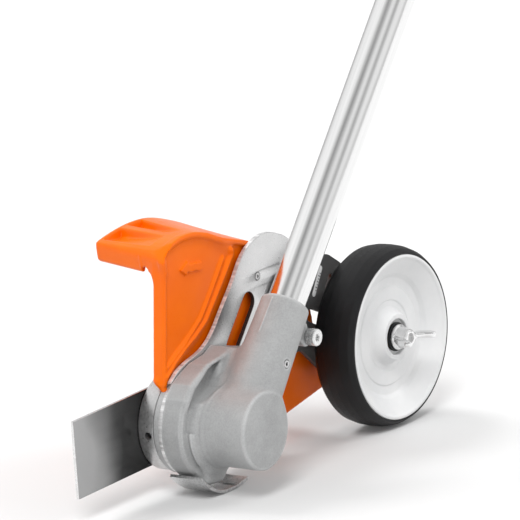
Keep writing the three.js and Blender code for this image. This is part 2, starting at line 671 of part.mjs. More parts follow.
function wheel() {
  add(wheelGroup, 'axle_bolt', join(
    ring(0, AXLE_R, PLATE_Y[0] + 1, 65.5, SMALL),
    ring(0, 8.5, PLATE_Y[0], PLATE_Y[1], 6),
  ), zinc);
  add(wheelGroup, 'axle_sleeve', ring(AXLE_R + GAP, SLEEVE_R, 26.2, 54.6, SMALL + 4), steel);
  add(wheelGroup, 'inner_washer', ring(AXLE_R + GAP, 11, BRACKET_Y[1] + GAP, 25.9, MID), blackRubber);
  add(wheelGroup, 'outer_washer', ring(AXLE_R + GAP, 9.8, 54.9, 56.3, MID), blackRubber);
  add(wheelGroup, 'wheel_bush', ring(SLEEVE_R + GAP, 9, 30, 53, MID), bronze);
  add(wheelGroup, 'wheel_disc', turned([
    [9.3, 29], [18, 29], [18.5, 44], [40, 44], [49, 30.5], [52.5, 28.6], [54.6, 28.6], [54.6, 36],
    [55.4, 52], [55.4, 60], [53.2, 60], [42, 52.8], [39, 50.5], [19.6, 49.5], [15.4, 56.6],
    [12.2, 56.6], [12.2, 54], [9.3, 54], [9.3, 29],
  ], BIG), whitePlastic);
  add(wheelGroup, 'tyre', turned([
    [54.9, WHEEL_Y[0] + 0.6], [56.4, WHEEL_Y[0]], [59.3, 31.5], [60.7, 38], [WHEEL_R, 44], [60.7, 50],
    [59.2, 56], [56.9, 59.6], [55.7, 59.8], [55.7, 51.8], [54.9, 35.8], [54.9, WHEEL_Y[0] + 0.6],
  ], BIG), blackRubber);
  wingNut();
}

function wingNut() {
  const body = turned([[0, 56.6], [8.6, 56.6], [8.6, 58.4], [6.8, 59.2], [6, 66.4], [0, 66.4]], MID);
  const wing = new THREE.Shape();
  wing.moveTo(3, 60);
  wing.lineTo(6, 60);
  wing.quadraticCurveTo(12, 61.5, 14.5, 68);
  wing.quadraticCurveTo(17, 76, 14.5, 77.6);
  wing.quadraticCurveTo(11.5, 78, 10, 72);
  wing.quadraticCurveTo(8.5, 66.5, 3, 66);
  wing.closePath();
  const wings = [0, Math.PI].map((turn) => new THREE.ExtrudeGeometry(wing, {
    depth: 3.4, bevelEnabled: false, curveSegments: 5,
  }).translate(0, 0, -1.7).rotateY(turn));
  const bore = ring(0, AXLE_R + GAP, 50, 70, SMALL);
  add(wheelGroup, 'wing_nut', cut(join(body, ...wings), bore), chrome);
}

driveTube();
driveShaft();
pinionGear();
crownGear();
PINION_BEARING.starts.forEach((start, i) => {
  bearing(`pinion_bearing_${['lower', 'upper'][i]}`, driveline, PINION_BEARING, start);
});
bearing('cover_bearing', output, COVER_BEARING, COVER_BEARING.start);
bearing('nose_bearing', output, NOSE_BEARING, NOSE_BEARING.start);
circlip('pinion_circlip', driveline, 9.2, PINION_BEARING.outer, 38.2);
outputShaft();
thrustCollar();
edgerBlade();
bladeFasteners();
bearingCover();
coverScrews();
gearboxHousing();
skid();
mountingPlate();
deflector();
wheelBracket();
wheel();

export default edger;
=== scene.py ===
# Lawn edger head on its drive tube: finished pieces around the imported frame.
# Shapes are written in millimetres in a working frame: X = 0 is the output shaft, Y = 0 the
# blade's inner face, Z = 0 the ground, +X forward and +Y towards the wheel's outer face.

import json
import math

import bmesh
import bpy
import numpy as np
from mathutils import Matrix, Vector

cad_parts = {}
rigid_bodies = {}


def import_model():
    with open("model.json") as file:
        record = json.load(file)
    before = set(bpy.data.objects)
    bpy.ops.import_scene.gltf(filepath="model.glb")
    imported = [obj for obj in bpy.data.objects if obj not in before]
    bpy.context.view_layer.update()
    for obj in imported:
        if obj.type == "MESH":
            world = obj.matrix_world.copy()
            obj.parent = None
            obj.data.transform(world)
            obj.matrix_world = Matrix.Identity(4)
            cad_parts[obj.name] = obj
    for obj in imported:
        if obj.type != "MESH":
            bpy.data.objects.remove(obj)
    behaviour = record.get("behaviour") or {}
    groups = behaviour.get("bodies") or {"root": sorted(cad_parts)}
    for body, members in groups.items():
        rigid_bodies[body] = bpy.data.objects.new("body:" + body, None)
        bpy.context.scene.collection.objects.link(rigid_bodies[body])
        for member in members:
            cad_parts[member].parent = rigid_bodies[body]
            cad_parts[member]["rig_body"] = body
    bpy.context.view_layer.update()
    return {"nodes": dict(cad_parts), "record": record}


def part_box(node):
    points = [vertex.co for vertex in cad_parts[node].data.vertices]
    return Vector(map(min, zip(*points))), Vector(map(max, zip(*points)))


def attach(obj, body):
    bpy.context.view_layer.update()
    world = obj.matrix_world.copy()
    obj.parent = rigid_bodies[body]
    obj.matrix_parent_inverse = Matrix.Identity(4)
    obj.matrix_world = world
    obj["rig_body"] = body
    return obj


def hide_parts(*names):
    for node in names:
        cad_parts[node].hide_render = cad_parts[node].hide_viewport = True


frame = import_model()

# ---------------- driving dimensions

SHIFT = np.array([-9.5, 30.65, 0.0])  # the row frame's origin in the working frame
AXIS_Z = 45.7  # the output shaft above the ground
TUBE_Y = 58.9  # the tube's axis crosses the shaft's line here
TUBE_R, TUBE_BORE = 12.7, 11.2
TUBE_START, TUBE_END = 46, 880
LEAN = math.radians(40.3)
N_DIR = np.array([math.cos(LEAN), 0.0, math.sin(LEAN)])  # square to the tube, forward
T_DIR = np.array([-math.sin(LEAN), 0.0, math.cos(LEAN)])  # along the tube, away from the blade
WHEEL_X, WHEEL_Z = -189.3, 61.0
SLOT_ANGLE = math.radians(24.6)

BLADE_X, BLADE_Z = 101.5, 26  # half its length and half its width
BLADE_SWEEP = 104.8  # the radius its corners pass
WALL_Y = 13.6  # the deflector wall's inner face
PLATE_Y = (17.2, 20.5)
FLANGE_Y = 20.8  # the casting's face on the plate
BRACKET_Y = (20.8, 24.0)
HOOD_FAR_Y = -45.0
NOSE_END = 79.3
CLAMP = (-22.6, 79.0)  # the clamp screw, n and t by the tube
PLUG_T = 48.3  # the grease plug's t on the tube's axis
PLATE_SCREWS = [(-19, 82.5), (-39, 70.2), (-33, 24.5)]
PLATE_SCREW_HOLE, DEFLECTOR_SCREW_HOLE, BRACKET_BOLT_HOLE = 2.8, 2.8, 3.3


def by_tube(n, t):
    """A point of the X-Z plane, n in front of the tube's axis and t along it."""
    return (n * math.cos(LEAN) - t * math.sin(LEAN), AXIS_Z + n * math.sin(LEAN) + t * math.cos(LEAN))


DEFLECTOR_SCREWS = [by_tube(-13, 113.7), by_tube(-56, 104), by_tube(-30, 56)]
BRACKET_BOLTS = [by_tube(-40, 96), by_tube(-44, 74)]
COVER_SCREWS = [(28.6 * math.sin(math.radians(a)), AXIS_Z + 28.6 * math.cos(math.radians(a)))
                for a in (6, 96, 186, 276)]


# ---------------- outlines

def filleted(points, radius, steps):
    """The polygon with its corners rounded; radius is one number or one per corner."""
    count = len(points)
    radii = radius if isinstance(radius, (list, tuple)) else [radius] * count
    out = []
    for i, point in enumerate(points):
        p = Vector(point[:2])
        if radii[i] <= 0:
            out.append(tuple(p))
            continue
        a = Vector(points[i - 1][:2]) - p
        b = Vector(points[(i + 1) % count][:2]) - p
        room = 0.49 * min(a.length, b.length)
        a.normalize()
        b.normalize()
        half = a.angle(b) / 2
        if half > math.radians(88):
            out.append(tuple(p))
            continue
        reach = min(radii[i] / math.tan(half), room)
        start, end = p + a * reach, p + b * reach
        for k in range(steps + 1):
            t = k / steps
            out.append(tuple(start * (1 - t) ** 2 + p * (2 * t * (1 - t)) + end * t ** 2))
    return out


def smooth_line(points, per_span):
    """A Catmull-Rom curve through the points."""
    p = np.array(points, float)
    ends = np.vstack([2 * p[0] - p[1], p, 2 * p[-1] - p[-2]])
    out = []
    for i in range(len(p) - 1):
        a, b, c, d = ends[i:i + 4]
        for k in range(per_span):
            t = k / per_span
            out.append(0.5 * (2 * b + (c - a) * t + (2 * a - 5 * b + 4 * c - d) * t ** 2
                              + (3 * b - a - 3 * c + d) * t ** 3))
    out.append(p[-1])
    return [tuple(v) for v in out]


def arc(cx, cz, r, start, end, steps):
    """Points on an arc between two angles in degrees."""
    angles = [math.radians(start + (end - start) * k / steps) for k in range(steps + 1)]
    return [(cx + r * math.cos(a), cz + r * math.sin(a)) for a in angles]


def circle(cx, cz, r, sides=24):
    return arc(cx, cz, r, 0, 360, sides)[:-1]


def slot_outline(a, b, r, sides=10):
    """A slot with round ends between two points."""
    turn = math.degrees(math.atan2(b[1] - a[1], b[0] - a[0])) - 90
    return arc(*b, r, turn, turn + 180, sides) + arc(*a, r, turn + 180, turn + 360, sides)


def rectangle(x0, z0, x1, z1):
    return [(x0, z0), (x1, z0), (x1, z1), (x0, z1)]


# ---------------- placing and meshes

def on_tube(points):
    """From (n, t, s) about the tube's axis, s towards +Y, to the working frame."""
    p = np.asarray(points, float)
    return (np.array([0.0, TUBE_Y, AXIS_Z]) + p[:, :1] * N_DIR + p[:, 1:2] * T_DIR
            + p[:, 2:3] * np.array([0.0, 1.0, 0.0]))


def shifted(x, z):
    """A placing that moves points in X and Z."""
    return lambda points: points + np.array([x, 0.0, z])


on_output = shifted(0.0, AXIS_Z)
on_wheel = shifted(WHEEL_X, WHEEL_Z)
as_written = shifted(0.0, 0.0)


def added(name, data):
    """A new object in the scene."""
    obj = bpy.data.objects.new(name, data)
    bpy.context.scene.collection.objects.link(obj)
    return obj


def mesh_of(name, solid, place):
    """A mesh in the row frame from the (verts, faces) of a solid, placed in the working frame."""
    verts, faces = solid
    mesh = bpy.data.meshes.new(name)
    mesh.from_pydata(((place(verts) - SHIFT) / 1000.0).tolist(), [], faces)
    return mesh


def shaded(mesh, sharp=32):
    """Smooth shading up to the sharp angle."""
    mesh.shade_smooth()
    mesh.set_sharp_from_angle(angle=math.radians(sharp))


def piece(name, solid, place, material, body, replaces=(), sharp=32, face_slots=None):
    """A piece from a solid, riding on a body and standing for CAD nodes."""
    mesh = mesh_of(name, solid, place)
    for each in material if isinstance(material, list) else [material]:
        mesh.materials.append(each)
    if face_slots is not None:
        mesh.polygons.foreach_set("material_index", face_slots)
    clean(mesh)
    shaded(mesh, sharp)
    obj = added(name, mesh)
    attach(obj, body)
    if replaces:
        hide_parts(*replaces)
    return obj


def clean(mesh):
    """Welds doubles, drops degenerate faces and points all faces outwards."""
    bm = bmesh.new()
    bm.from_mesh(mesh)
    bmesh.ops.remove_doubles(bm, verts=bm.verts, dist=2e-6)
    bmesh.ops.dissolve_degenerate(bm, edges=bm.edges, dist=1e-6)
    bmesh.ops.recalc_face_normals(bm, faces=bm.faces)
    bm.to_mesh(mesh)
    bm.free()


def lathe(profile, sides=72):
    """A closed profile of (radius, y) turned about the Y axis."""
    verts, faces = [], []
    count = len(profile)
    for i in range(sides):
        angle = 2 * math.pi * i / sides
        verts += [(r * math.sin(angle), y, r * math.cos(angle)) for r, y in profile]
    for i in range(sides):
        a, b = i * count, ((i + 1) % sides) * count
        for k in range(count):
            n = (k + 1) % count
            if profile[k][0] < 1e-6 and profile[n][0] < 1e-6:
                continue
            faces.append((a + k, a + n, b + n, b + k))
    return np.array(verts), faces


def merged(*parts):
    """Several (verts, faces) as one."""
    verts, faces, base = [], [], 0
    for v, f in parts:
        verts.append(np.asarray(v, float))
        faces += [tuple(base + i for i in face) for face in f]
        base += len(v)
    return np.vstack(verts), faces


def slab(outline, holes, y0, y1, bevel=0.35, steps=2):
    """A plate in the X-Z plane with holes and rounded edges, as (verts, faces)."""
    curve = bpy.data.curves.new("outline", "CURVE")
    curve.dimensions = "2D"
    curve.fill_mode = "BOTH"
    curve.bevel_depth = bevel
    curve.bevel_resolution = steps
    curve.extrude = (y1 - y0) / 2 - bevel
    curve.offset = -bevel
    for loop in [outline, *holes]:
        spline = curve.splines.new("POLY")
        spline.points.add(len(loop) - 1)
        for point, (x, z) in zip(spline.points, loop):
            point.co = (x, z, 0.0, 1.0)
        spline.use_cyclic_u = True
    holder = added("outline", curve)
    mesh = holder.to_mesh()
    mid = (y0 + y1) / 2
    verts = np.array([(v.co.x, mid - v.co.z, v.co.y) for v in mesh.vertices])
    faces = [tuple(p.vertices) for p in mesh.polygons]
    holder.to_mesh_clear()
    bpy.data.objects.remove(holder)
    bpy.data.curves.remove(curve)
    return verts, faces


def carve(obj, solid, place):
    """Cuts a solid out of a piece."""
    mesh = mesh_of("cutter", solid, place)
    clean(mesh)
    tool = added("cutter", mesh)
    modifier = obj.modifiers.new("cut", "BOOLEAN")
    modifier.operation = "DIFFERENCE"
    modifier.solver = "EXACT"
    modifier.object = tool
    bpy.context.view_layer.update()
    result = bpy.data.meshes.new_from_object(obj.evaluated_get(bpy.context.evaluated_depsgraph_get()))
    obj.modifiers.clear()
    name = obj.data.name
    obj.data = result
    result.name = name
    bpy.data.objects.remove(tool)
    shaded(obj.data)


# ---------------- fields and their surfaces

FAR = 1e12


def to_segment(x, z, a, b):
    """Squared distance to the segment from a to b, whose coordinates may differ by point."""
    ex, ez = b[0] - a[0], b[1] - a[1]
    wx, wz = x - a[0], z - a[1]
    t = np.clip((wx * ex + wz * ez) / (ex * ex + ez * ez), 0, 1)
    return (wx - ex * t) ** 2 + (wz - ez * t) ** 2


def line_distance(x, z, line):
    """Distance to an open polyline."""
    best = np.full(x.shape, FAR)
    for a, b in zip(line[:-1], line[1:]):
        best = np.minimum(best, to_segment(x, z, a, b))
    return np.sqrt(best)


def poly_distance(x, z, outline):
    """Signed distance to a closed polygon, negative inside."""
    sign = np.ones(x.shape)
    pts = np.asarray(outline, float)
    for a, b in zip(pts, np.roll(pts, 1, axis=0)):
        above, below = z >= a[1], z < b[1]
        left = (b[0] - a[0]) * (z - a[1]) > (b[1] - a[1]) * (x - a[0])
        sign = np.where((above & below & left) | (~above & ~below & ~left), -sign, sign)
    return sign * line_distance(x, z, [*pts, pts[0]])


def blend_min(a, b, k):
    """The lower of two fields, with a fillet of about k where they meet."""
    h = np.maximum(k - np.abs(a - b), 0.0) / k
    return np.minimum(a, b) - h * h * k / 4


def blend_all(body, *parts):
    """The body joined to (field, fillet) parts in turn."""
    for part, k in parts:
        body = blend_min(body, part, k)
    return body


def bored(body, x, z, holes, r, depth=-FAR):
    """The body with holes of radius r along Y, where the field depth is negative."""
    for hx, hz in holes:
        body = np.maximum(body, -np.maximum(np.hypot(x - hx, z - hz) - r, depth))
    return body


def blend_max(a, b, k):
    return -blend_min(-a, -b, k)


def between(value, low, high):
    """Distance outside a span, negative within."""
    return np.abs(value - (low + high) / 2) - (high - low) / 2


def prism(x, y, z, outline, y0, y1, rounding):
    """A polygon in the X-Z plane run along Y, with rounded edges."""
    return blend_max(poly_distance(x, z, outline), between(y, y0, y1), rounding)


def round_box(p, centre, half, rounding):
    q = np.abs(p - centre) - (np.array(half) - rounding)
    outside = np.sqrt((np.maximum(q, 0) ** 2).sum(1))
    return outside + np.minimum(q.max(1), 0) - rounding


def capsule(p, a, b, r):
    a, b = np.array(a, float), np.array(b, float)
    ab = b - a
    t = np.clip((p - a) @ ab / (ab @ ab), 0, 1)
    return np.linalg.norm(p - a - t[:, None] * ab, axis=1) - r


def sampled(field, low, size, step):
    """The field on a grid; a block of it far from the surface gets its middle's value."""
    block, at_once = 10, 120
    values = np.empty(size, np.float32)
    reach = block * step * math.sqrt(3) / 2 * 1.5 + 2.5
    starts = np.array([(i, j, k) for i in range(0, size[0], block) for j in range(0, size[1], block)
                       for k in range(0, size[2], block)])
    near = []
    for start, value in zip(starts, field(low + (starts + block / 2) * step)):
        part = tuple(slice(a, min(a + block, n)) for a, n in zip(start, size))
        if abs(value) > reach:
            values[part] = value
        else:
            near.append(part)
    for first in range(0, len(near), at_once):
        group = near[first:first + at_once]
        grids = []
        for part in group:
            axes = [np.arange(s.start, s.stop) for s in part]
            grids.append(np.stack(np.meshgrid(*axes, indexing="ij"), -1).reshape(-1, 3))
        result = field(low + np.concatenate(grids) * step)
        ends = np.cumsum([len(grid) for grid in grids])
        for part, values_there in zip(group, np.split(result, ends[:-1])):
            values[part] = values_there.reshape(values[part].shape)
    return values


def crossing_means(values, cells):
    """For each cell, the mean of the points where its edges cross the surface, in grid steps."""
    sums, hits = np.zeros((len(cells), 3)), np.zeros(len(cells))
    for axis in range(3):
        u, v = (axis + 1) % 3, (axis + 2) % 3
        for du, dv in np.ndindex(2, 2):
            a = cells.copy()
            a[:, u] += du
            a[:, v] += dv
            b = a.copy()
            b[:, axis] += 1
            va, vb = values[tuple(a.T)], values[tuple(b.T)]
            crossed = (va < 0) != (vb < 0)
            point = a.astype(float)
            point[:, axis] += np.where(crossed, va / np.where(crossed, va - vb, 1), 0)
            sums += np.where(crossed[:, None], point, 0)
            hits += crossed
    return sums / hits[:, None]


def net_quads(inside, index):
    """A quad of cell numbers around each grid edge that crosses the surface."""
    size = inside.shape
    faces = []
    for axis in range(3):
        u, v = (axis + 1) % 3, (axis + 2) % 3
        at = np.argwhere(np.diff(inside, axis=axis))
        at = at[(at[:, u] > 0) & (at[:, v] > 0) & (at[:, u] < size[u] - 1) & (at[:, v] < size[v] - 1)]
        eu, ev = np.eye(3, dtype=int)[[u, v]]
        quads = np.stack([index[tuple((at - s).T)] for s in (eu + ev, ev, 0 * eu, eu)], 1)
        flip = ~inside[tuple(at.T)]
        quads[flip] = quads[flip][:, ::-1]
        faces.append(quads)
    return [tuple(q) for q in np.concatenate(faces).tolist()]


def settled(field, verts, step):
    """The points moved onto the surface along the field's slope."""
    d = 0.05 * step
    for _ in range(3):
        f0 = field(verts)
        grad = np.stack([(field(verts + d * e) - f0) / d for e in np.eye(3)], 1)
        move = -f0[:, None] * grad / np.maximum((grad ** 2).sum(1), 0.05)[:, None]
        length = np.linalg.norm(move, axis=1)
        move *= np.minimum(1, 0.5 * step / np.maximum(length, 1e-9))[:, None]
        verts = verts + move
    return verts


def netted(field, low, high, step):
    """The surface where a field is zero, as (verts, faces): one vertex in each cell it crosses."""
    low, high = np.array(low, float), np.array(high, float)
    size = np.ceil((high - low) / step).astype(int) + 1
    values = sampled(field, low, size, step)
    inside = values < 0
    total = np.zeros(size - 1, np.int8)
    for i, j, k in np.ndindex(2, 2, 2):
        total += inside[i:size[0] - 1 + i, j:size[1] - 1 + j, k:size[2] - 1 + k]
    cells = np.argwhere((total > 0) & (total < 8))
    index = np.full(size - 1, -1, np.int64)
    index[tuple(cells.T)] = np.arange(len(cells))
    verts = settled(field, low + crossing_means(values, cells) * step, step)
    return verts, net_quads(inside, index)


# ---------------- materials

def put(socket, value):
    """Links another node's output to a socket, or sets the socket to a plain value."""
    if isinstance(value, bpy.types.NodeSocket):
        socket.id_data.links.new(value, socket)
    else:
        socket.default_value = value


def node(owner, kind, output, *values, operation=None, **named):
    """A new node's output, in the tree that owner is or is a socket of; its inputs are given in
    order, or by name with _ for a space."""
    new = owner.id_data.nodes.new("ShaderNode" + kind)
    if operation:
        new.operation = operation
    for i, value in enumerate(values):
        put(new.inputs[i], value)
    for name, value in named.items():
        put(new.inputs[name.replace("_", " ")], value)
    return new.outputs[output]


def noise(at, scale, detail, roughness, stretch=None):
    """A noise with about this many features to the metre."""
    if stretch:
        at = node(at, "Mapping", "Vector", Vector=at, Scale=stretch)
    return node(at, "TexNoise", "Fac", Vector=at, Scale=scale, Detail=detail, Roughness=roughness)


def ramp(value, *stops):
    """A colour ramp of (position, colour) stops; a plain number is a grey."""
    new = value.id_data.nodes.new("ShaderNodeValToRGB")
    elements = new.color_ramp.elements
    while len(elements) < len(stops):
        elements.new(0.5)
    for element, (position, colour) in zip(elements, stops):
        element.position = position
        element.color = (*colour, 1.0) if isinstance(colour, tuple) else (colour, colour, colour, 1.0)
    put(new.inputs["Fac"], value)
    return new.outputs["Color"]


def remap(value, low, high, source=(0.3, 0.7)):
    return node(value, "MapRange", "Result", Value=value, From_Min=source[0], From_Max=source[1],
                To_Min=low, To_Max=high)


def mixed(a, b, factor=0.5):
    return node(a, "Mix", "Result", Factor=factor, A=a, B=b)


def new_material(name):
    material = bpy.data.materials.new(name)
    material.use_nodes = True
    return material, node(material.node_tree, "TexCoord", "Object")


def finished(material, colour, rough, metallic=0.0, specular=0.5, relief=None):
    """The material with its shader set; relief is the (height, distance, strength) of a bump."""
    tree = material.node_tree
    looks = {"Base Color": colour, "Roughness": rough, "Metallic": metallic, "Specular IOR Level": specular}
    if relief:
        height, distance, strength = relief
        looks["Normal"] = node(tree, "Bump", "Normal", Height=height, Distance=distance, Strength=strength)
    for name, value in looks.items():
        put(tree.nodes["Principled BSDF"].inputs[name], value)
    return material


def cast_aluminium():
    """Sand-cast grain, with painted light: paler on the casting's edges as a painted highlight and darker in
    its corners as painted shade.
    """
    material, at = new_material("cast_aluminium")
    grain = noise(at, 900, 3, 0.7)
    both = mixed(grain, noise(at, 55, 4, 0.6), 0.45)
    tint = ramp(both, (0.3, (0.29, 0.294, 0.295)), (0.5, (0.37, 0.374, 0.375)), (0.7, (0.45, 0.454, 0.455)))
    # Painted light from pointiness: a painted highlight on convex edges and painted shade in concave corners
    painted_light = ramp(node(at, "NewGeometry", "Pointiness"), (0.45, 0.72), (0.5, 0.94), (0.55, 1.3))
    colour = node(at, "VectorMath", "Vector", tint, painted_light, operation="MULTIPLY")
    return finished(material, colour, remap(grain, 0.46, 0.62), 0.2, relief=(both, 0.00025, 0.55))


def anodised_tube():
    """Drawn tube: faint lines along its length."""
    material, at = new_material("anodised_aluminium")
    upright = node(at, "Mapping", "Vector", Vector=at, Rotation=(0.0, LEAN, 0.0))
    drawn = noise(upright, 60, 3, 0.6, (9.0, 9.0, 0.12))
    return finished(material, ramp(drawn, (0.3, 0.80), (0.7, 0.90)), remap(drawn, 0.16, 0.21), 1.0,
                    relief=(drawn, 0.00003, 0.4))


def zinc_plate(name, painted_shade_at=None):
    """Bright clouded zinc, with painted shade darkening it around one place of the row frame if given."""
    material, at = new_material(name)
    speck = noise(at, 700, 4, 0.7)
    tone = mixed(noise(at, 22, 3, 0.55), speck, 0.4)
    if painted_shade_at:
        # Painted shade: darker close to the given place
        away = node(at, "VectorMath", "Value", at, painted_shade_at, operation="DISTANCE")
        tone = mixed(tone, remap(away, 0.12, 0.62, (0.006, 0.03)))
    return finished(material, ramp(tone, (0.32, 0.26), (0.5, 0.64), (0.66, 0.82)),
                    remap(speck, 0.24, 0.44), 0.95, relief=(speck, 0.00012, 0.35))


def sheared_edge():
    """The punched edge of a plate: fine lines across its thickness."""
    material, at = new_material("sheared_edge")
    lines = noise(at, 420, 2, 0.5, (1.0, 0.05, 1.0))
    return finished(material, ramp(lines, (0.35, 0.50), (0.5, 0.68), (0.62, 0.85)), 0.34, 0.5,
                    relief=(lines, 0.0001, 0.4))


def machined_steel(name, base, rough, metallic=1.0):
    material, at = new_material(name)
    fine = noise(at, 500, 3, 0.6)
    return finished(material, ramp(fine, (0.3, base * 0.86), (0.7, min(base * 1.1, 0.95))),
                    remap(fine, rough * 0.8, rough * 1.3), metallic, relief=(fine, 0.00006, 0.3))


def blade_steel():
    """Dark hardened faces with a polish, and a painted reflection that brightens them towards one end."""
    material, at = new_material("blade_steel")
    streak = noise(at, 90, 3, 0.6, (0.3, 1.0, 2.0))
    cloud = mixed(noise(at, 16, 2, 0.5, (1.0, 1.0, 0.5)), streak, 0.04)
    # Painted reflection: the faces lighten towards the blade's +X end
    painted_light = remap(node(at, "SeparateXYZ", "X", at), 0.25, 0.8, (0.035, 0.115))
    colour = ramp(mixed(cloud, painted_light, 0.62), (0.34, 0.004), (0.50, 0.05), (0.66, 0.34))
    return finished(material, colour, remap(streak, 0.12, 0.26), 0.25, 0.22)


def orange_plastic():
    material, at = new_material("orange_plastic")
    grain = noise(at, 1300, 2, 0.5)
    colour = ramp(noise(at, 30, 3, 0.5), (0.3, (0.78, 0.122, 0.0)), (0.7, (0.85, 0.148, 0.0)))
    return finished(material, colour, remap(grain, 0.27, 0.38), 0.0, 0.22, (grain, 0.00005, 0.35))


def dark_paint():
    material, at = new_material("dark_paint")
    speck = noise(at, 1100, 4, 0.7)
    colour = ramp(mixed(speck, noise(at, 35, 3, 0.6)), (0.3, 0.035), (0.7, 0.075))
    return finished(material, colour, remap(speck, 0.38, 0.55), relief=(speck, 0.00015, 0.5))


def white_plastic():
    material, at = new_material("white_plastic")
    grain = noise(at, 800, 3, 0.6)
    colour = ramp(noise(at, 40, 3, 0.6), (0.3, (0.63, 0.635, 0.64)), (0.7, 0.69))
    return finished(material, colour, remap(grain, 0.42, 0.58), relief=(grain, 0.00008, 0.4))


def black_rubber(name, low, high, rough):
    material, at = new_material(name)
    grain = noise(at, 650, 4, 0.65)
    both = mixed(grain, noise(at, 28, 3, 0.6), 0.6)
    colour = ramp(both, (0.3, (low, low, low * 1.08)), (0.7, (high, high, high * 1.1)))
    return finished(material, colour, remap(grain, rough - 0.07, rough + 0.1), 0.0, 0.3,
                    (both, 0.0002, 0.5))


def chrome_plate():
    material, at = new_material("chrome_plate")
    fine = noise(at, 160, 3, 0.5)
    return finished(material, ramp(fine, (0.3, 0.80), (0.7, 0.90)), remap(fine, 0.05, 0.12), 1.0)


def bronze():
    material, at = new_material("bronze")
    pores = noise(at, 1500, 3, 0.7)
    colour = ramp(pores, (0.35, (0.33, 0.20, 0.08)), (0.65, (0.58, 0.38, 0.17)))
    return finished(material, colour, 0.4, 0.9, relief=(pores, 0.0001, 0.5))


CAST = cast_aluminium()
TUBE = anodised_tube()
ZINC = zinc_plate("zinc_plate")
# The mounting plate's zinc, with painted shade near the tube's socket
PLATE = zinc_plate("zinc_plate_painted_shade", (-0.0305, -0.012, 0.113))
EDGE = sheared_edge()
STEEL = machined_steel("plain_steel", 0.5, 0.3)
BRIGHT = machined_steel("bright_steel", 0.78, 0.24)
# Painted shade: a near-black steel that stands in for the shadow on the plate's slot walls
PAINTED_SLOT_SHADE = machined_steel("painted_slot_shade", 0.03, 0.4, 0.4)
SATIN = machined_steel("satin_zinc", 0.62, 0.34, 0.9)
BLADE = blade_steel()
ORANGE = orange_plastic()
PAINT = dark_paint()
WHITE = white_plastic()
RUBBER = black_rubber("black_rubber", 0.006, 0.014, 0.5)
TYRE = black_rubber("tyre_rubber", 0.004, 0.012, 0.48)
CHROME = chrome_plate()
BRONZE = bronze()

CAD_LOOKS = {"cast_aluminium": CAST, "anodised_aluminium": TUBE, "plain_steel": STEEL,
             "zinc_plated_steel": ZINC, "blade_steel": BLADE, "chrome_plate": CHROME,
             "orange_plastic": ORANGE, "dark_paint": PAINT, "white_plastic": WHITE,
             "black_rubber": RUBBER, "tyre_rubber": TYRE, "bronze": BRONZE}


def dress_cad_nodes():
    slots = {part["node"]: part["material_slot"] for part in frame["record"]["subparts"]}
    for name, obj in frame["nodes"].items():
        obj.data.materials.clear()
        obj.data.materials.append(CAD_LOOKS[slots[name]])


dress_cad_nodes()


# ---------------- drive tube and shaft

def drive_tube():
    """The tube with two locating holes near its upper end."""
    profile = filleted(rectangle(TUBE_BORE, TUBE_START, TUBE_R, TUBE_END), 0.4, 2)
    tube = piece("drive_tube_skin", lathe(profile, 96), on_tube, TUBE, "gearbox",
                 ["drive_tube"])
    for t, r in ((848, 4.0), (866, 2.5)):
        along = np.array([0, t, 0])
        carve(tube, lathe(rectangle(0, 5, r, 20), 32), lambda points: on_tube(points[:, [0, 2, 1]] + along))


def drive_shaft():
    """A round rod with a square end that stands out of the tube."""
    rod = filleted(rectangle(0, 22, 4, 872), [0, 0.5, 0.5, 0], 2)
    piece("drive_shaft_rod", lathe(rod, 40), on_tube, STEEL, "drive_shaft")
    square = slab(filleted(rectangle(-2.6, -2.6, 2.6, 2.6), 0.5, 2), [], 868, 894, 0.5)
    piece("drive_shaft_square", square, on_tube, BRIGHT, "drive_shaft", ["drive_shaft"])


# ---------------- gearbox casting

PAD = [(27, 68), (20.5, 76.5), (1.7, 86), (-24.8, 89.6), (-64.1, 79.4), (-52, 45), (-30, 28), (20, 32)]
SHELL = [(-10, FLANGE_Y), (35.4, FLANGE_Y), (35.4, 34.6), (34.2, 36.4), (31.6, 37.2), (30.2, 38.4),
         (31.4, 40.4), (30.2, 42.6), (27.4, 45.2), (26.3, 48.5), (26, 52), (26, 77.6), (25.2, 78.6),
         (14, 79.25), (-10, NOSE_END)]
CAVITY = [(-10, 10), (23.9, 10), (23.9, 37), (22.6, 37), (22.6, 70.7), (8.3, 70.7), (8.3, 75.8), (-10, 75.8)]
BROW = [(-13, 85.2), (-4, 84.2), (1, 82.7), (10, 78.2), (18.4, 73.2), (24, 66.8), (27.9, 61.2),
        (30.6, 54.6), (31.6, 48), (29.6, 47.5), (28, 54.5), (25, 60.5), (21, 65), (14, 67.6), (7, 69.8),
        (0, 71.6), (-5.6, 75.6), (-9.8, 81.2)]


def gusset_planes():
    """The web between the pad and the socket is the hull of both; its faces as planes."""
    points = []
    for x, z in [(-24.8, 89.6), (-64.1, 79.4), (-50, 45), (0, 60)]:
        points += [(x, FLANGE_Y, z), (x, 27, z - 2)]
    for t, r in ((4, 13), (49, 9.6)):
        for i in range(20):
            a = 2 * math.pi * i / 20
            x, z = by_tube(r * math.cos(a), t)
            points.append((x, TUBE_Y + r * math.sin(a), z))
    bm = bmesh.new()
    for p in points:
        bm.verts.new(p)
    bmesh.ops.convex_hull(bm, input=bm.verts)
    bm.normal_update()
    planes = {tuple(round(c, 3) for c in (*f.normal, f.normal.dot(f.verts[0].co))) for f in bm.faces
              if f.calc_area() > 1e-3}
    bm.free()
    return np.array(sorted(planes))


GUSSET = gusset_planes()


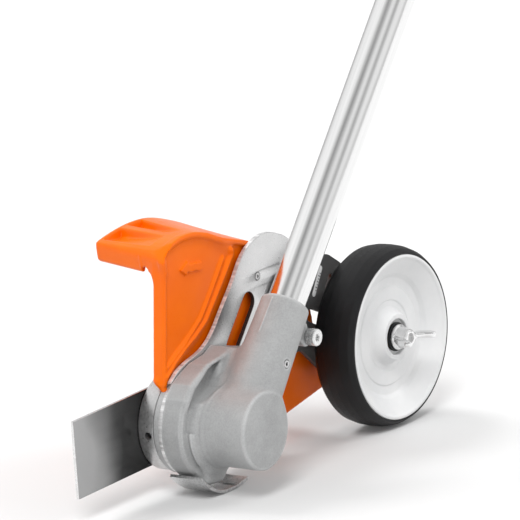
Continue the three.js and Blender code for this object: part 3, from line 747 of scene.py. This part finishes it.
def casting_field(p):
    """The housing: shell, pad, socket, web, foot, screw boss, clamp ear and seam, then its hollows."""
    x, y, z = p.T
    rel = p - np.array([0, TUBE_Y, AXIS_Z])
    n, t, s = rel @ N_DIR, rel @ T_DIR, rel[:, 1]
    from_axis = np.hypot(x, z - AXIS_Z)
    from_tube = np.hypot(n, s)

    shell = poly_distance(from_axis, y, SHELL)
    radius = np.interp(t, [16, 30, 77, 90.7], [18.4, 18.4, 16.7, 16.2])
    socket = blend_max(from_tube - radius, between(t, 16, 90.7), 2.2)
    pad = prism(x, y, z, PAD, FLANGE_Y, 36.8, 2.5)
    web = (p @ GUSSET[:, :3].T - GUSSET[:, 3]).max(1)
    foot = blend_min(round_box(p, (6, 31.5, 17), (13.5, 11.0, 9.5), 6.0),
                     round_box(p, (-2, 30.0, 13), (6.5, 8.5, 6.0), 4.0), 4)
    boss_x, boss_z = PLATE_SCREWS[2]
    boss = blend_max(np.hypot(x - boss_x, z - boss_z) - 6.8, between(y, FLANGE_Y, 33.5), 2.0)
    ear_x, ear_z = by_tube(*CLAMP)
    ear = blend_max(np.hypot(x - ear_x, z - ear_z) - 6.5, between(y, TUBE_Y - 10, TUBE_Y + 9.6), 1.5)
    ear_web = blend_max(blend_max(between(n, -24, -8), between(t, 72.5, 85.5), 1.0),
                        between(s, -10, 9.6), 1.5)
    seam = capsule(p, *on_tube([(17.4, 62, 0), (16.5, 87, 0)]), 0.25)

    body = blend_all(shell, (pad, 5.0), (socket, 6.0), (web, 8.0), (foot, 4.0), (boss, 3.0),
                     (blend_min(ear, ear_web, 1.5), 2.5), (seam, 1.2))

    brow_floor = 31.6 + 5.4 * np.clip((75 - z) / 15, 0, 1)
    brow = blend_max(poly_distance(x, z, BROW), between(y, brow_floor, 46), 3.0)
    body = blend_max(body, -brow, 1.8)
    plug_x, plug_z = by_tube(0, PLUG_T)
    dimple = capsule(p, (plug_x, 75.9, plug_z), (plug_x, 90, plug_z), 2.9)
    body = blend_max(body, -dimple, 1.2)

    body = np.maximum(body, -poly_distance(from_axis, y, CAVITY))
    bore = np.where(t < TUBE_START - 1, 12.3, 13.0)
    body = np.maximum(body, -np.maximum(from_tube - bore, 10 - t))
    slit = np.maximum(np.maximum(np.abs(s) - 0.8, between(n, -40, -10)), between(t, 60, 120))
    body = np.maximum(body, -slit)
    body = bored(body, x, z, [by_tube(*CLAMP)], 3.4)
    body = bored(body, x, z, PLATE_SCREWS, PLATE_SCREW_HOLE, y - 29.3)
    body = bored(body, x, z, COVER_SCREWS, 2.7, y - 29.2)
    return np.maximum(body, FLANGE_Y - y)


def gearbox():
    verts, faces = netted(casting_field, (-68, 19.5, 3), (40, 81.5, 128), 0.85)
    verts[:, 1] = np.clip(verts[:, 1], FLANGE_Y, NOSE_END)
    piece("gearbox_casting", (verts, faces), as_written, CAST, "gearbox",
          ["gearbox_housing"], 50)


def bearing_cover():
    profile = [(8.6, 12.9), (33.2, 12.9), (33.6, 13.6), (33.6, 20.5), (23.6, 20.5), (23.6, 36.4), (15, 36.4),
               (15, 34.3), (16.3, 34.3), (16.3, 24.7), (12.4, 24.7), (12.4, 15), (8.6, 15)]
    piece("bearing_cover_skin", lathe(filleted(profile, 0.35, 2), 96), on_output, CAST, "gearbox",
          ["bearing_cover"])


def grease_plug():
    profile = filleted([(0, 72.3), (2.2, 72.3), (2.2, 75.2), (2.6, 75.2), (2.6, 76), (2.2, 76.4),
                        (1.5, 76.4), (1.3, 75.9), (1.3, 73.2), (0, 73.2)], 0.12, 2)
    piece("grease_plug_head", lathe(profile, 36), shifted(*by_tube(0, PLUG_T)), ZINC, "gearbox",
          ["grease_plug"])


def star_outline(r, depth, lobes):
    """A lobed recess."""
    angles = np.linspace(0, 2 * math.pi, lobes * 8, endpoint=False)
    reach = r - depth * (0.5 - 0.5 * np.cos(lobes * angles))
    return list(zip(reach * np.cos(angles), reach * np.sin(angles)))


def clamp_screw():
    """A socket screw with a knurled head and a six-lobed recess."""
    head_r, knurl, teeth = 5.7, 0.35, 96
    rim = [tuple((head_r - knurl * (i % 2)) * c for c in point)
           for i, point in enumerate(circle(0, 0, 1, teeth))]
    shank = lathe(rectangle(0, 48, 3, 69.4), 32)
    head = slab(rim, [], 69.2, 73.8, 0.2)
    crown = slab(circle(0, 0, head_r, 64), [star_outline(2.5, 0.8, 6)], 73.8, 76, 0.7, 3)
    recess_floor = lathe(rectangle(0, 72.9, 2.9, 74.2), 24)
    piece("clamp_screw_head", merged(shank, head, crown, recess_floor), shifted(*by_tube(*CLAMP)), BRIGHT,
          "gearbox", ["clamp_screw"])


# ---------------- what turns with the blade

def thrust_collar():
    """A dished ring with a cross hole for the locking pin, and the pilot that centres the blade."""
    ring = filleted([(6.7, 0.3), (32.5, 0.3), (32.5, 12), (29, 12), (29, 5.3), (12.5, 5.3), (12.5, 11.6),
                     (6.7, 11.6)], [0.3, 0.7, 0.6, 0.5, 0.8, 0.8, 0.4, 0.4], 3)
    collar = piece("thrust_collar_ring", lathe(ring, 120), on_output, SATIN, "blade_assembly",
                   ["thrust_collar"])
    turn = np.array(Matrix.Rotation(0.08, 3, "Y") @ Matrix.Rotation(-math.pi / 2, 3, "Z"))
    middle = np.array([0, 7.8, AXIS_Z])
    carve(collar, lathe(rectangle(0, 20, 2.6, 40), 32), lambda points: points @ turn.T + middle)
    pilot = lathe(filleted(rectangle(6.7, -1.7, 9.7, 0.6), 0.3, 2), 64)
    piece("thrust_collar_pilot", pilot, on_output, ZINC, "blade_assembly")


def edger_blade():
    """The straight blade, turned a little off level as it rests, with bright edges."""
    outline = filleted(rectangle(-BLADE_X, -BLADE_Z, BLADE_X, BLADE_Z), 1.2, 3)
    verts, faces = slab(outline, [circle(0, 0, 10, 40)], -2, 0)
    edge = [0 if abs(face_normal(verts, f)[1]) > 0.9 else 1 for f in faces]
    turn = np.array(Matrix.Rotation(math.radians(1.36), 3, "Y"))
    piece("edger_blade_steel", (verts @ turn.T, faces), on_output, [BLADE, BRIGHT], "blade_assembly",
          ["edger_blade"], 25, edge)


def face_normal(verts, face):
    a, b, c = (Vector(verts[i]) for i in face[:3])
    normal = (b - a).cross(c - a)
    return normal.normalized() if normal.length > 1e-9 else Vector((0, 0, 0))


def blade_fasteners():
    """The dished washer, the flanged nut and the stepped shaft that holds them."""
    washer = filleted([(5.3, -5.8), (17, -4.2), (19, -2.3), (12, -2.3), (5.3, -2.9)], 0.4, 2)
    piece("clamping_washer_dished", lathe(washer), on_output, ZINC, "blade_assembly",
          ["clamping_washer"])
    nut = slab(filleted(circle(0, 0, 9.4, 6), 0.8, 3), [circle(0, 0, 5.2, 40)], -14, -7.4, 0.6, 3)
    flange = lathe(filleted([(5.2, -7.5), (10.4, -7.3), (11, -6.1), (5.2, -6.1)], 0.3, 2), 60)
    piece("blade_nut_hex", merged(nut, flange), on_output, BRIGHT, "blade_assembly",
          ["blade_nut"])
    shaft = [(0, -15), (4.2, -15), (4.9, -14.2), (4.9, -2.5), (6.4, -2.5), (6.4, 12), (7.2, 12), (7.2, 48.9),
             (3.7, 48.9), (3.7, 75.2), (0, 75.2)]
    piece("output_shaft_turned", lathe(filleted(shaft, 0.25, 2)), on_output, STEEL, "blade_assembly",
          ["output_shaft"])


# ---------------- skid

SKID_Y = (18.3, 43)


def skid_line(offset):
    """The strip's underside from rear to front, moved up square to it."""
    points = [(-27 - offset * 0.15, 2.6), (-14, 0), (-5, 0)]
    x, z, heading = -5.0, 0.0, 0.0
    for radius, turn, steps in ((32, 26, 8), (60, 20, 6)):
        step = math.radians(turn) / steps
        for _ in range(steps):
            heading += step / 2
            x += radius * step * math.cos(heading)
            z += radius * step * math.sin(heading)
            heading += step / 2
            points.append((x, z))
    out = []
    for i, (px, pz) in enumerate(points):
        ax, az = points[max(i - 1, 0)]
        bx, bz = points[min(i + 1, len(points) - 1)]
        length = math.hypot(bx - ax, bz - az)
        out.append((px - offset * (bz - az) / length, pz + offset * (bx - ax) / length))
    return out


def skid():
    """The bent strip with a slot for its screws."""
    low, high = skid_line(0), skid_line(2.0)
    strip = piece("skid_strip", slab(low + high[::-1], [], *SKID_Y, 0.3), as_written, ZINC, "gearbox",
                  ["skid"])
    slot = slab(slot_outline((-14, 39.5), (-14, 33.5), 1.6), [], -6, 6, 0.1)
    carve(strip, slot, lambda points: points[:, [0, 2, 1]])


# ---------------- plate and wheel bracket

def plate_outline():
    front = smooth_line([(20.8, 76.6), (12.5, 82.6), (1.7, 86.4), (-10, 88.9), (-18.4, 91.8), (-26, 96.4),
                         (-33, 102.6), (-40.8, 111.3), (-53.8, 125.1), (-64.3, 138.1), (-70, 143.2),
                         (-76, 146.9), (-84, 149.7), (-92, 150.9), (-100.4, 150.1), (-109, 147.2),
                         (-117.3, 143.5), (-125, 137), (-129.3, 128), (-129, 118)], 4)
    rest = filleted([(-129, 118), (-118, 84), (-62, 38), (-44, 17), (-32, 14.5), (-22, 17)],
                    [0, 10, 12, 12, 6, 0], 5)
    bottom = arc(0, AXIS_Z, 34.2, 225, 58 + 360, 40)
    return front + rest[1:] + bottom


def mounting_plate():
    """The plate: clouded faces with painted shade near the tube's socket, a sheared edge, and painted shade
    on the walls of its long slot.
    """
    low, high, slot_r = by_tube(-13.1, 62), by_tube(-13.1, 94.5), 7
    holes = [slot_outline(low, high, slot_r)]
    holes += [circle(x, z, PLATE_SCREW_HOLE) for x, z in PLATE_SCREWS + DEFLECTOR_SCREWS]
    holes += [circle(x, z, BRACKET_BOLT_HOLE) for x, z in BRACKET_BOLTS]
    verts, faces = slab(plate_outline(), holes, *PLATE_Y, 0.45)
    middles = np.array([verts[list(f)].mean(0) for f in faces])
    in_slot = line_distance(middles[:, 0], middles[:, 2], [low, high]) < slot_r + 0.6
    on_edge = [abs(face_normal(verts, f)[1]) < 0.4 for f in faces]
    # The slot's walls take the painted shade, the other edges the sheared edge
    slots = [int(edge) * (2 if slot else 1) for edge, slot in zip(on_edge, in_slot)]
    piece("mounting_plate_steel", (verts, faces), as_written, [PLATE, EDGE, PAINTED_SLOT_SHADE], "gearbox",
          ["mounting_plate"], 32, slots)


def bracket_outline():
    points = [by_tube(-30, 60), by_tube(-30, 124), by_tube(-40, 131), (-150, 123.6), (-161, 121.4),
              (-174.8, 112.6), (-183, 103), (-205, 70), (-208, 50), (-194, 44.5), (-150, 43), (-143, 47.4),
              (-123, 65), by_tube(-48, 56)]
    return filleted(points, [4, 8, 8, 6, 12, 12, 14, 14, 12, 8, 6, 6, 10, 10], 6)


def slot_point(travel):
    return (WHEEL_X + travel * math.cos(SLOT_ANGLE), WHEEL_Z + travel * math.sin(SLOT_ANGLE))


def wheel_bracket():
    holes = [slot_outline(slot_point(-4), slot_point(58), 4.3),
             slot_outline((-157, 99.2), (-161.8, 105.6), 1.9)]
    holes += [circle(x, z, BRACKET_BOLT_HOLE) for x, z in BRACKET_BOLTS]
    piece("wheel_bracket_plate", slab(bracket_outline(), holes, *BRACKET_Y, 0.4), as_written, PAINT,
          "gearbox", ["wheel_bracket"])


def height_scale():
    """A white scale on the bracket with a long or a short tick for each height."""
    low, high, half = Vector((-140.6, 97)), Vector((-150.8, 114)), 1.9
    along = (high - low).normalized()
    across = Vector((along.y, -along.x))
    face = BRACKET_Y[1]
    strip = slot_outline(tuple(low + along * half), tuple(high), half, 8)
    parts = [slab(strip, [], face, face + 0.25, 0.08, 1)]
    slots = [0] * len(parts[0][1])
    for i in range(7):
        base = low + along * (4.4 + i * 2.0)
        left, right = base - across * 1.6, base + across * (0.6 if i % 2 else -0.3)
        up = along * 0.55
        corners = [tuple(c) for c in (left, right, right + up, left + up)]
        parts.append(slab(corners, [], face + 0.2, face + 0.32, 0.03, 1))
        slots += [1] * len(parts[-1][1])
    piece("height_scale", merged(*parts), as_written, [WHITE, PAINT], "gearbox", (), 32,
          slots)


def hex_fasteners():
    """The bracket's two bolts and nuts."""
    hexagon = filleted(circle(0, 0, 5.5, 6), 0.5, 2)
    shank = lathe(filleted(rectangle(0, 10.5, 3, 24.6), [0, 0.5, 0, 0], 2), 32)
    solids = {"bolt": merged(slab(hexagon, [], 24.3, 27.4, 0.4), shank),
              "nut": slab(hexagon, [circle(0, 0, 3.15, 32)], 12, 16.9, 0.4)}
    for i, place in enumerate(BRACKET_BOLTS, 1):
        for kind, solid in solids.items():
            piece(f"bracket_{kind}_hex_{i}", solid, shifted(*place), BRIGHT, "gearbox",
                  [f"bracket_{kind}_{i}"])


def socket_screw(tip, head, under, shank_r, head_r):
    """A round-headed screw along Y whose shank ends flush at tip, with a hexagon recess there."""
    shank = slab(circle(0, 0, shank_r, 36), [], under - 0.3, tip - 1.6, 0.2)
    end = slab(circle(0, 0, shank_r, 36), [circle(0, 0, 1.2, 6)], tip - 1.8, tip, 0.25, 3)
    cap = filleted([(0, head), (head_r - 1.2, head), (head_r, under - 1.2), (head_r, under), (0, under)],
                   [0, 0.6, 0.6, 0.3, 0], 3)
    return merged(shank, end, lathe(cap, 40))


def screws():
    kinds = {"deflector": (DEFLECTOR_SCREWS, socket_screw(20.6, 9.9, 13.3, 2.4, 4.6)),
             "plate": (PLATE_SCREWS, socket_screw(28.8, 14.2, 16.9, 2.5, 4.4)),
             "cover": (COVER_SCREWS, socket_screw(29.4, 13.2, 14.2, 2.6, 2.6))}
    for kind, (places, solid) in kinds.items():
        for i, place in enumerate(places, 1):
            piece(f"{kind}_screw_turned_{i}", solid, shifted(*place), ZINC, "gearbox",
                  [f"{kind}_screw_{i}"])


# ---------------- deflector

HOOD_NEAR = [(14.8, 147.5), (17, 157.5), (11, 164.5), (-5, 168.3), (-20, 167.6), (-35, 163.6), (-52, 156.5),
             (-84, 146.5), (-118, 133), (-137, 113), (-146, 90), (-151, 66), (-157, 46), (-160, 34)]
HOOD_FAR = [(3.6, 151.4), (4.8, 159.8), (1, 162.5), (-18, 165.5), (-36, 166.5), (-54, 165), (-74, 159.5),
            (-98, 150), (-124, 135), (-139, 113), (-147, 90), (-151, 66), (-157, 46), (-160, 34)]
SHEET = 2.8
WALL_OUTLINE = ([(14.8, 147.5), (21.6, 76)] + arc(0, AXIS_Z, 35, 52, 212, 24)
                + [(-62, 14.5), (-118, 22.7), (-160, 30)] + HOOD_NEAR[:0:-1])
ARCH = [(19.5, 150), (19, 158.5), (15.2, 163.6), (6.8, 166.6), (-5, 168.2), (-20.5, 166.9), (-36.8, 161.4),
        (-48.2, 155.8), (-55.1, 151.2), (-59.4, 147.4)]
OUTER_RIDGE = [(-59.4, 147.4), (-60.3, 143.5), (-51.4, 133.2), (-38, 118.6), (-26.7, 106.6), (-14, 99.4),
               (-1.7, 93.8), (10, 87.4), (20.1, 80.2)]
INNER_RIDGE = [(-51.6, 143.2), (-36.5, 124.8), (-23, 109.6), (-12, 102.4), (-2.2, 97), (9, 91.2),
               (18.6, 85.4)]
BEHIND = OUTER_RIDGE + [(24, 70), (0, 60), (-30, 10), (-170, 10), (-170, 150), (-75, 158)]
ARROW = [(-3, 146.2), (-9.7, 141.2), (-10.6, 143.2), (-27.3, 141.2), (-27.6, 146.8), (-12.2, 148.2),
         (-12.2, 150.8)]
POCKETS = [([(-20.5, -42), (0.5, -42), (8.6, 1.5), (-6.4, 3.5)], (-14, 24)),
           ([(-44, -42), (-27, -42), (-11.6, 4), (-23, 7)], (-36, 60))]


def sunk(line, depth):
    """The line moved to its inner side."""
    p = np.array(line)
    step = np.vstack([p[1] - p[0], p[2:] - p[:-2], p[-1] - p[-2]])
    step /= np.linalg.norm(step, axis=1)[:, None]
    return p + depth * np.stack([-step[:, 1], step[:, 0]], 1)


HOOD_LINES = [sunk(smooth_line(line, 3), SHEET / 2) for line in (HOOD_NEAR, HOOD_FAR)]


def pocket_depth(x, y):
    """How far the top of the hood sinks for its two shallow pockets, which fade towards the wall,
    and how much the sheet is thickened under them."""
    depth, backing = np.zeros(x.shape), np.zeros(x.shape)
    for outline, (rear, reach) in POCKETS:
        edge = np.clip(-poly_distance(x, y, outline) / 2.2 + 0.1, 0, 1)
        fade = np.clip((5.0 - y) / 34.0, 0, 1) ** 0.8
        slope = np.clip(1 - (x - rear - 0.2 * (y + 42)) / reach, 0.22, 1)
        depth = np.maximum(depth, 5.4 * edge * edge * (3 - 2 * edge) * fade * slope)
        around = np.clip(-poly_distance(x, y, outline) / 4 + 1.2, 0, 1) * np.clip((9.0 - y) / 6, 0, 1)
        backing = np.maximum(backing, 1.8 * around)
    return depth, backing


def hood_field(x, y, z):
    """The hood: a sheet ruled between its near and its far line, with the pockets pressed in."""
    share = np.clip((16.8 - y) / 61.8, -0.1, 1.1)
    depth, backing = pocket_depth(x, y)
    on_top = np.clip((z - 140) / 12, 0, 1)
    backing = backing * on_top
    lifted = z + depth * on_top + backing
    line = [tuple(a + (b - a) * share for a, b in zip(near, far)) for near, far in zip(*HOOD_LINES)]
    return blend_max(line_distance(x, lifted, line) - SHEET / 2 - backing, between(y, HOOD_FAR_Y, 17.4), 1.6)


def wall_height(x, z):
    """Y of the wall's outer face: a panel between the arch and the double ridge."""
    arch = line_distance(x, z, ARCH)
    outer = line_distance(x, z, OUTER_RIDGE)
    inner = line_distance(x, z, INNER_RIDGE)
    panel = 15.2 + 2.0 * np.exp(-(arch / 4.5) ** 2) + 1.9 * np.exp(-(inner / 1.3) ** 2)
    ridge = 3.0 * np.exp(-(outer / 1.5) ** 2)
    flank = np.maximum(17.8 - 0.40 * outer, 15.0)
    behind = poly_distance(x, z, BEHIND)
    share = np.clip(0.5 - behind / 2.0, 0, 1)
    return (panel + ridge) * (1 - share) + np.maximum(flank, 15.2 + ridge) * share


def deflector_field(p):
    """Wall, arrow, hood, the lip down the front with its hook and joint line, then what is cut."""
    x, y, z = p.T
    wall = blend_max(blend_max(poly_distance(x, z, WALL_OUTLINE), WALL_Y - y, 0.5),
                     (y - wall_height(x, z)) / 1.25, 0.9)
    arrow = prism(x, y, z, ARROW, 14.5, 16.75, 0.5)
    front = 15.4 + (147 - z) * 0.1013 - 0.43 * np.clip(7.2 - y, 0, 12)
    corner = arc(-2.4, 139.4, 9.6, 90, 0, 8)
    strip = [(7.2, 77), (12, 74.6), (16.6, 75), (16.6, 156), (-4, 156), (-4, 149.4)] + corner
    lip = blend_max(poly_distance(y, z, strip), np.abs(x - front + 1.5) - 1.5, 1.6)
    hook = capsule(p, (21.0, 10.8, 77.0), (20.4, 14.6, 71.6), 2.3)
    body = blend_all(wall, (arrow, 0.6), (hood_field(x, y, z), 2.2), (blend_min(lip, hook, 2.5), 1.6))
    facet = (p - np.array([15.4, 2.0, 161.5])) @ np.array([0.709, 0.198, 0.677])
    body = blend_max(body, facet, 0.6)
    body = blend_min(body, capsule(p, (11.9, -4.0, 149.8), (12.4, -4.0, 158.0), 0.8), 0.7)

    # A rounded groove under the hood leaves the blade's corners clear
    groove = np.hypot(np.maximum(np.hypot(x, z - AXIS_Z) - (BLADE_SWEEP - 2), 0), y + 1) - 2.9
    body = blend_max(body, -groove, 0.8)
    # The axle bolt's head slides past the wall's rear end
    body = np.maximum(body, y - 16.7 - 0.4 * np.maximum(0, x + 138))
    body = bored(body, x, z, DEFLECTOR_SCREWS, DEFLECTOR_SCREW_HOLE)
    body = bored(body, x, z, PLATE_SCREWS, 5.4)
    return bored(body, x, z, BRACKET_BOLTS, 8.0)


def deflector():
    solid = netted(deflector_field, (-163, -46.5, 12), (25.5, 20.5, 171), 1.0)
    piece("deflector_moulding", solid, as_written, ORANGE, "gearbox", ["deflector"], 60)


# ---------------- wheel

def tyre():
    profile = filleted([(54.9, 28.6), (56.4, 28), (59.3, 31.5), (60.7, 38), (61, 44), (60.7, 50), (59.2, 56),
                        (56.9, 59.6), (55.7, 59.8), (55.7, 51.8), (54.9, 35.8)],
                       [0.3, 0.8, 3, 6, 8, 6, 4, 1, 0.4, 0.3, 0.3], 4)
    piece("tyre_tread", lathe(profile, 160), on_wheel, TYRE, "wheel", ["tyre"])


def wheel_disc():
    profile = [(9.3, 29), (18, 29), (18.5, 44), (38.4, 44), (48.4, 30.5), (52.5, 28.6), (54.6, 28.6),
               (54.6, 36), (55.4, 52), (55.4, 60.1), (53.4, 60.1), (52.2, 58.6), (42.2, 52), (39.6, 49.4),
               (34, 49), (33, 49.6), (24.5, 49.6), (23.5, 49), (19.8, 49.2), (18.6, 50.4), (15.8, 56),
               (15.2, 56.6), (12.4, 56.6), (12, 56), (12, 54), (9.3, 54)]
    radii = [0.4, 1, 3, 4, 3, 1.5, 0.8, 0, 0, 0.9, 0.9, 1.2, 2.4, 2.0, 0.5, 0.5, 0.5, 0.5, 1.5, 1.2, 0.8, 0.6,
             0.5, 0.3, 0.2, 0.3]
    piece("wheel_disc_moulding", lathe(filleted(profile, radii, 4), 144), on_wheel, WHITE, "wheel",
          ["wheel_disc"])


def wing_field(p):
    """A stepped hub with two wings that thicken outwards, and the axle's bore."""
    x, y, z = p.T
    across = np.hypot(x, z)
    hub_line = [(-5, 56.6), (8.6, 56.6), (8.6, 58.2), (7.1, 59.4), (6.1, 66.2), (5.4, 67.2), (-5, 67.2)]
    hub = poly_distance(across, y, hub_line)
    reach = np.abs(x)
    wing_line = filleted([(2, 59.5), (8.2, 60), (12.6, 63.6), (16, 68.4), (17, 73.2), (15.6, 77.6),
                          (12.6, 76.6), (10.2, 71.6), (6.4, 66.8), (2, 66.6)],
                         [0, 2, 4, 4, 2.5, 2.2, 2.5, 4, 3, 0], 4)
    side = poly_distance(reach, y, wing_line)
    thick = 1.75 + 0.05 * np.clip(reach - 4, 0, 10)
    wing = blend_max(side, np.abs(z) - thick, 1.6)
    return np.maximum(blend_min(hub, wing, 2.6), 3.3 - across)


def wing_nut():
    solid = netted(wing_field, (-19, 55.5, -10), (19, 79, 10), 0.45)
    piece("wing_nut_cast", solid, on_wheel, CHROME, "wing_nut", ["wing_nut"], 60)


def washers():
    """Both rubber washers, as wide and as thick as the CAD has them."""
    for name in ("outer_washer", "inner_washer"):
        low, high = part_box(name)
        y0, y1 = low[1] * 1000 + SHIFT[1], high[1] * 1000 + SHIFT[1]
        radius = (high[0] - low[0]) * 500
        profile = filleted(rectangle(6.3, y0, radius, y1), 0.35, 3)
        piece(name + "_rounded", lathe(profile, 64), on_wheel, RUBBER, frame["nodes"][name]["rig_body"],
              [name])


for build in (drive_tube, drive_shaft, gearbox, bearing_cover, grease_plug, clamp_screw, thrust_collar,
              edger_blade, blade_fasteners, skid, mounting_plate, wheel_bracket, height_scale,
              hex_fasteners, screws, deflector, tyre, wheel_disc, wing_nut, washers):
    build()


# ---------------- floor, light and camera

def floor():
    half, drop = 30, 0.0004
    mesh = bpy.data.meshes.new("floor")
    corners = [(x, y, 0) for x, y in rectangle(-half, -half, half, half)]
    mesh.from_pydata(corners, [], [(0, 1, 2, 3)])
    material, at = new_material("floor_white")
    finished(material, ramp(noise(at, 0.8, 2, 0.5), (0.3, 0.62), (0.7, 0.63)), 1.0, 0.0, 0.0)
    shader = material.node_tree.nodes["Principled BSDF"]
    shader.inputs["Emission Color"].default_value = (1.0, 1.0, 1.0, 1.0)
    shader.inputs["Emission Strength"].default_value = 0.04
    mesh.materials.append(material)
    plane = added("floor", mesh)
    plane.location.z = -drop


def soft_light(name, place, strength, spread):
    """A light so far off that it is even everywhere; it shines from place towards the middle."""
    light = bpy.data.lights.new(name, "SUN")
    light.energy = strength
    light.angle = spread
    holder = added(name, light)
    holder.location = place
    holder.visible_glossy = False
    holder.rotation_euler = (-Vector(place)).to_track_quat("-Z", "Y").to_euler()


# Brightness of the studio's panels around the tube's axis, by degrees from the camera's side
# (0) towards its right: soft white panels with darker gaps between them
PANELS = [(-180, 0.65), (-150, 0.7), (-100, 1.05), (-62, 1.12), (-46, 0.65), (-34, 0.33), (-24, 0.52),
          (-8, 0.92), (4, 0.9), (13, 0.46), (20, 0.52), (34, 0.98), (62, 1.12), (88, 1), (108, 0.75),
          (128, 0.48), (146, 0.4), (162, 0.55), (180, 0.65)]
CAMERA_AT = (3.85322, 2.76093, 1.29116)
CAMERA_RIGHT = Vector((-0.5639, 0.8239, -0.0576))
CAMERA_UP = Vector((-0.2249, -0.0861, 0.9706))
CAMERA_BACK = Vector((0.7947, 0.5602, 0.2339))


def world():
    """The panels as seen around the tube's axis, dimmer close to the horizon."""
    scene = bpy.context.scene
    scene.world = bpy.data.worlds.new("studio")
    scene.world.use_nodes = True
    tree = scene.world.node_tree
    facing = node(tree, "TexCoord", "Generated")
    axis = Vector(T_DIR)
    front = (CAMERA_BACK - axis * CAMERA_BACK.dot(axis)).normalized()
    parts = [node(tree, "VectorMath", "Value", facing, direction, operation="DOT_PRODUCT")
             for direction in (axis.cross(front), front)]
    angle = node(tree, "Math", "Value", *parts, operation="ARCTAN2")
    share = remap(angle, 0.0, 1.0, (-math.pi, math.pi))
    panels = ramp(share, *[(0.5 + degrees / 360, bright) for degrees, bright in PANELS])
    near_horizon = remap(node(tree, "SeparateXYZ", "Z", facing), 0.62, 1.0, (0.05, 0.3))
    dimmed = node(tree, "VectorMath", "Vector", panels, operation="SCALE", Scale=near_horizon)
    put(tree.nodes["Background"].inputs["Color"], dimmed)
    put(tree.nodes["Background"].inputs["Strength"], 0.94)


def camera():
    data = bpy.data.cameras.new("camera")
    data.lens = 521.86
    data.sensor_width = 36
    data.clip_start = 0.1
    data.clip_end = 200
    holder = added("camera", data)
    turn = Matrix((CAMERA_RIGHT, CAMERA_UP, CAMERA_BACK)).transposed().to_4x4()
    holder.matrix_world = Matrix.Translation(CAMERA_AT) @ turn
    bpy.context.scene.camera = holder


floor()
world()
soft_light("key", (1.9, 0.9, 2.45), 1.85, 0.4)
soft_light("side", (-1.6, 1.7, 1.8), 0.85, 0.5)
soft_light("rim", (-0.4, -1.6, 2.1), 1.4, 0.45)
camera()
bpy.context.scene.view_settings.view_transform = "Standard"
